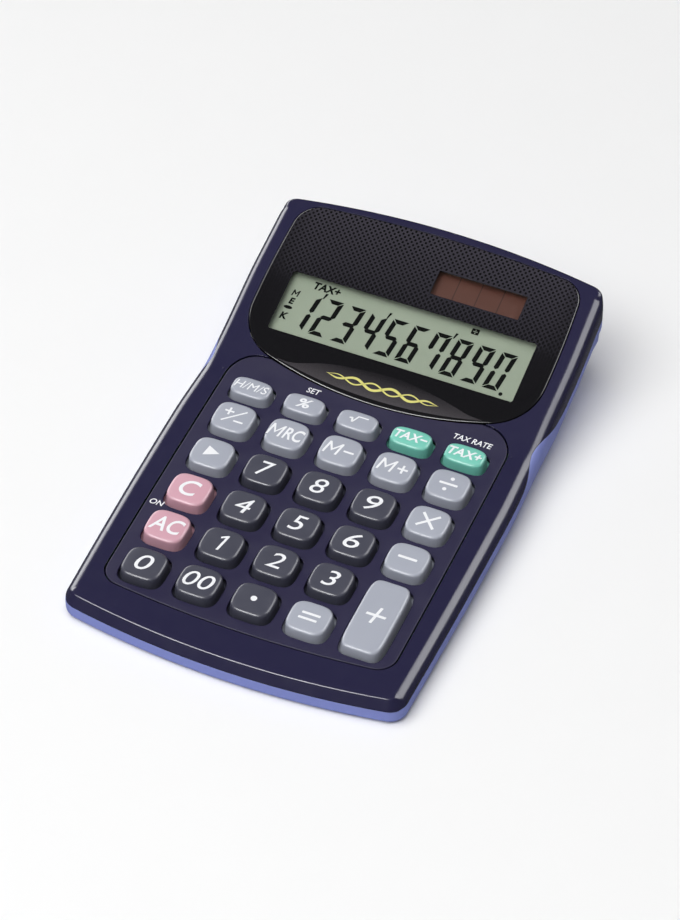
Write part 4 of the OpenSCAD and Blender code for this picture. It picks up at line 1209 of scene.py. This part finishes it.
def build_motif():
    """A thin yellow wave on the window's lower facet, in place of the printed slogan."""
    m = plastic("yellow_ink", srgb(214, 208, 112), 0.45, grain=0.2, grain_mm=0.1, mottle=500)
    edge = np.array(FACET)

    def on_facet(q):
        top = np.interp(q[:, 0], edge[:, 0], edge[:, 1])
        return LENS_TOP - np.maximum(top - q[:, 1], 0) * FACET_SLOPE + 0.03

    s = Shape()
    t = np.linspace(-1, 1, 121)
    taper = np.clip(1 - t ** 4, 0.05, 1)
    x = t * WAVE_HALF + WAVE_AT[0]
    mid = WAVE_AT[1] + WAVE_RISE * x ** 2
    for height, thick in WAVE_STRANDS:
        line = np.stack([x, mid + height * np.sin(t * math.pi * 3) * taper], 1)
        along = np.gradient(line, axis=0)
        along /= np.linalg.norm(along, axis=1)[:, None]
        side = np.stack([-along[:, 1], along[:, 0]], 1) * (thick / 2 * taper)[:, None]
        n = len(line)
        faces = [(i, i + 1, n + i + 1, n + i) for i in range(n - 1)]
        s.slab(np.concatenate([line - side, line + side]), faces, on_facet, 0.05, from_head)
    s.make("window_wave", mats=[m], smooth=False, weld=1e-8)


# ---------------------------------------------------------------- floor, light, world
LIGHT_TARGET = Vector((0, 0, 0.015))
WORLD_LIGHT = 0.12


def area(name, at, size, power, glossy=True, diffuse=True):
    """A soft light that shows either in the diffuse light or in the reflections."""
    data = bpy.data.lights.new(name, "AREA")
    data.shape = "RECTANGLE"
    data.size, data.size_y = size
    data.energy = power
    obj = bpy.data.objects.new(name, data)
    obj.location = at
    obj.rotation_euler = (LIGHT_TARGET - Vector(at)).to_track_quat("-Z", "Y").to_euler()
    obj.visible_glossy = glossy
    obj.visible_diffuse = diffuse
    bpy.context.collection.objects.link(obj)


def build_floor():
    """A plain off-white floor under the object."""
    m = Nodes("floor")
    n = m.noise(30, 3)
    m.set(Base_Color=m.mix(n, srgb(241, 241, 241), srgb(243, 243, 243)))
    m.set(Roughness=m.ramp(n, 0.3, 0.7, 0.85, 0.95))
    m.bsdf.inputs["Specular IOR Level"].default_value = 0.1
    bm = bmesh.new()
    bmesh.ops.create_grid(bm, x_segments=8, y_segments=8, size=4)
    mesh = bpy.data.meshes.new("floor")
    bm.to_mesh(mesh)
    bm.free()
    mesh.materials.append(m.mat)
    floor = bpy.data.objects.new("floor", mesh)
    floor.location.z = cad_box[0].z
    bpy.context.collection.objects.link(floor)
    # A white floor mirrored in the case's flanks would wash out their colour
    floor.visible_glossy = False


def build_lights():
    """Dim white surroundings, two soft lights for the shading, and three that show only as highlights."""
    world = bpy.data.worlds.new("world")
    world.use_nodes = True
    world.node_tree.nodes["Background"].inputs[0].default_value = (1, 1, 1, 1)
    world.node_tree.nodes["Background"].inputs[1].default_value = WORLD_LIGHT
    bpy.context.scene.world = world
    area("overhead", (-0.35, -0.6, 2.2), (2.6, 2.6), 60, glossy=False)
    area("front", (-0.55, -0.95, 1.3), (1.2, 0.9), 7, glossy=False)
    area("front_strip", (-0.42, -1.2, 0.86), (1.1, 0.42), 40, diffuse=False)
    area("right_strip", (0.84, 0.75, 0.98), (1.2, 1.2), 27, diffuse=False)
    area("left_strip", (-1.2, 0.75, 0.42), (1.1, 0.8), 18, diffuse=False)
    bpy.context.scene.view_settings.view_transform = "Standard"
    bpy.context.scene.view_settings.look = "None"


# ---------------------------------------------------------------- build
add_camera()
build_floor()
build_lights()
record = frame["record"]
slot_of = {s["node"]: s["material_slot"] for s in record["subparts"]}
keys = [n for n in slot_of if n.startswith("key_") and n != "key_panel"]
paint_cad()
build_upper_case()
build_lower_case()
build_key_panel(keys)
build_lens()
build_panes()
build_lcd()
build_motif()
build_deck_marks()
for k in keys:
    build_key(k, k + "_body", KEY_MATERIAL[slot_of[k]])
    build_legend(k, k + "_body")
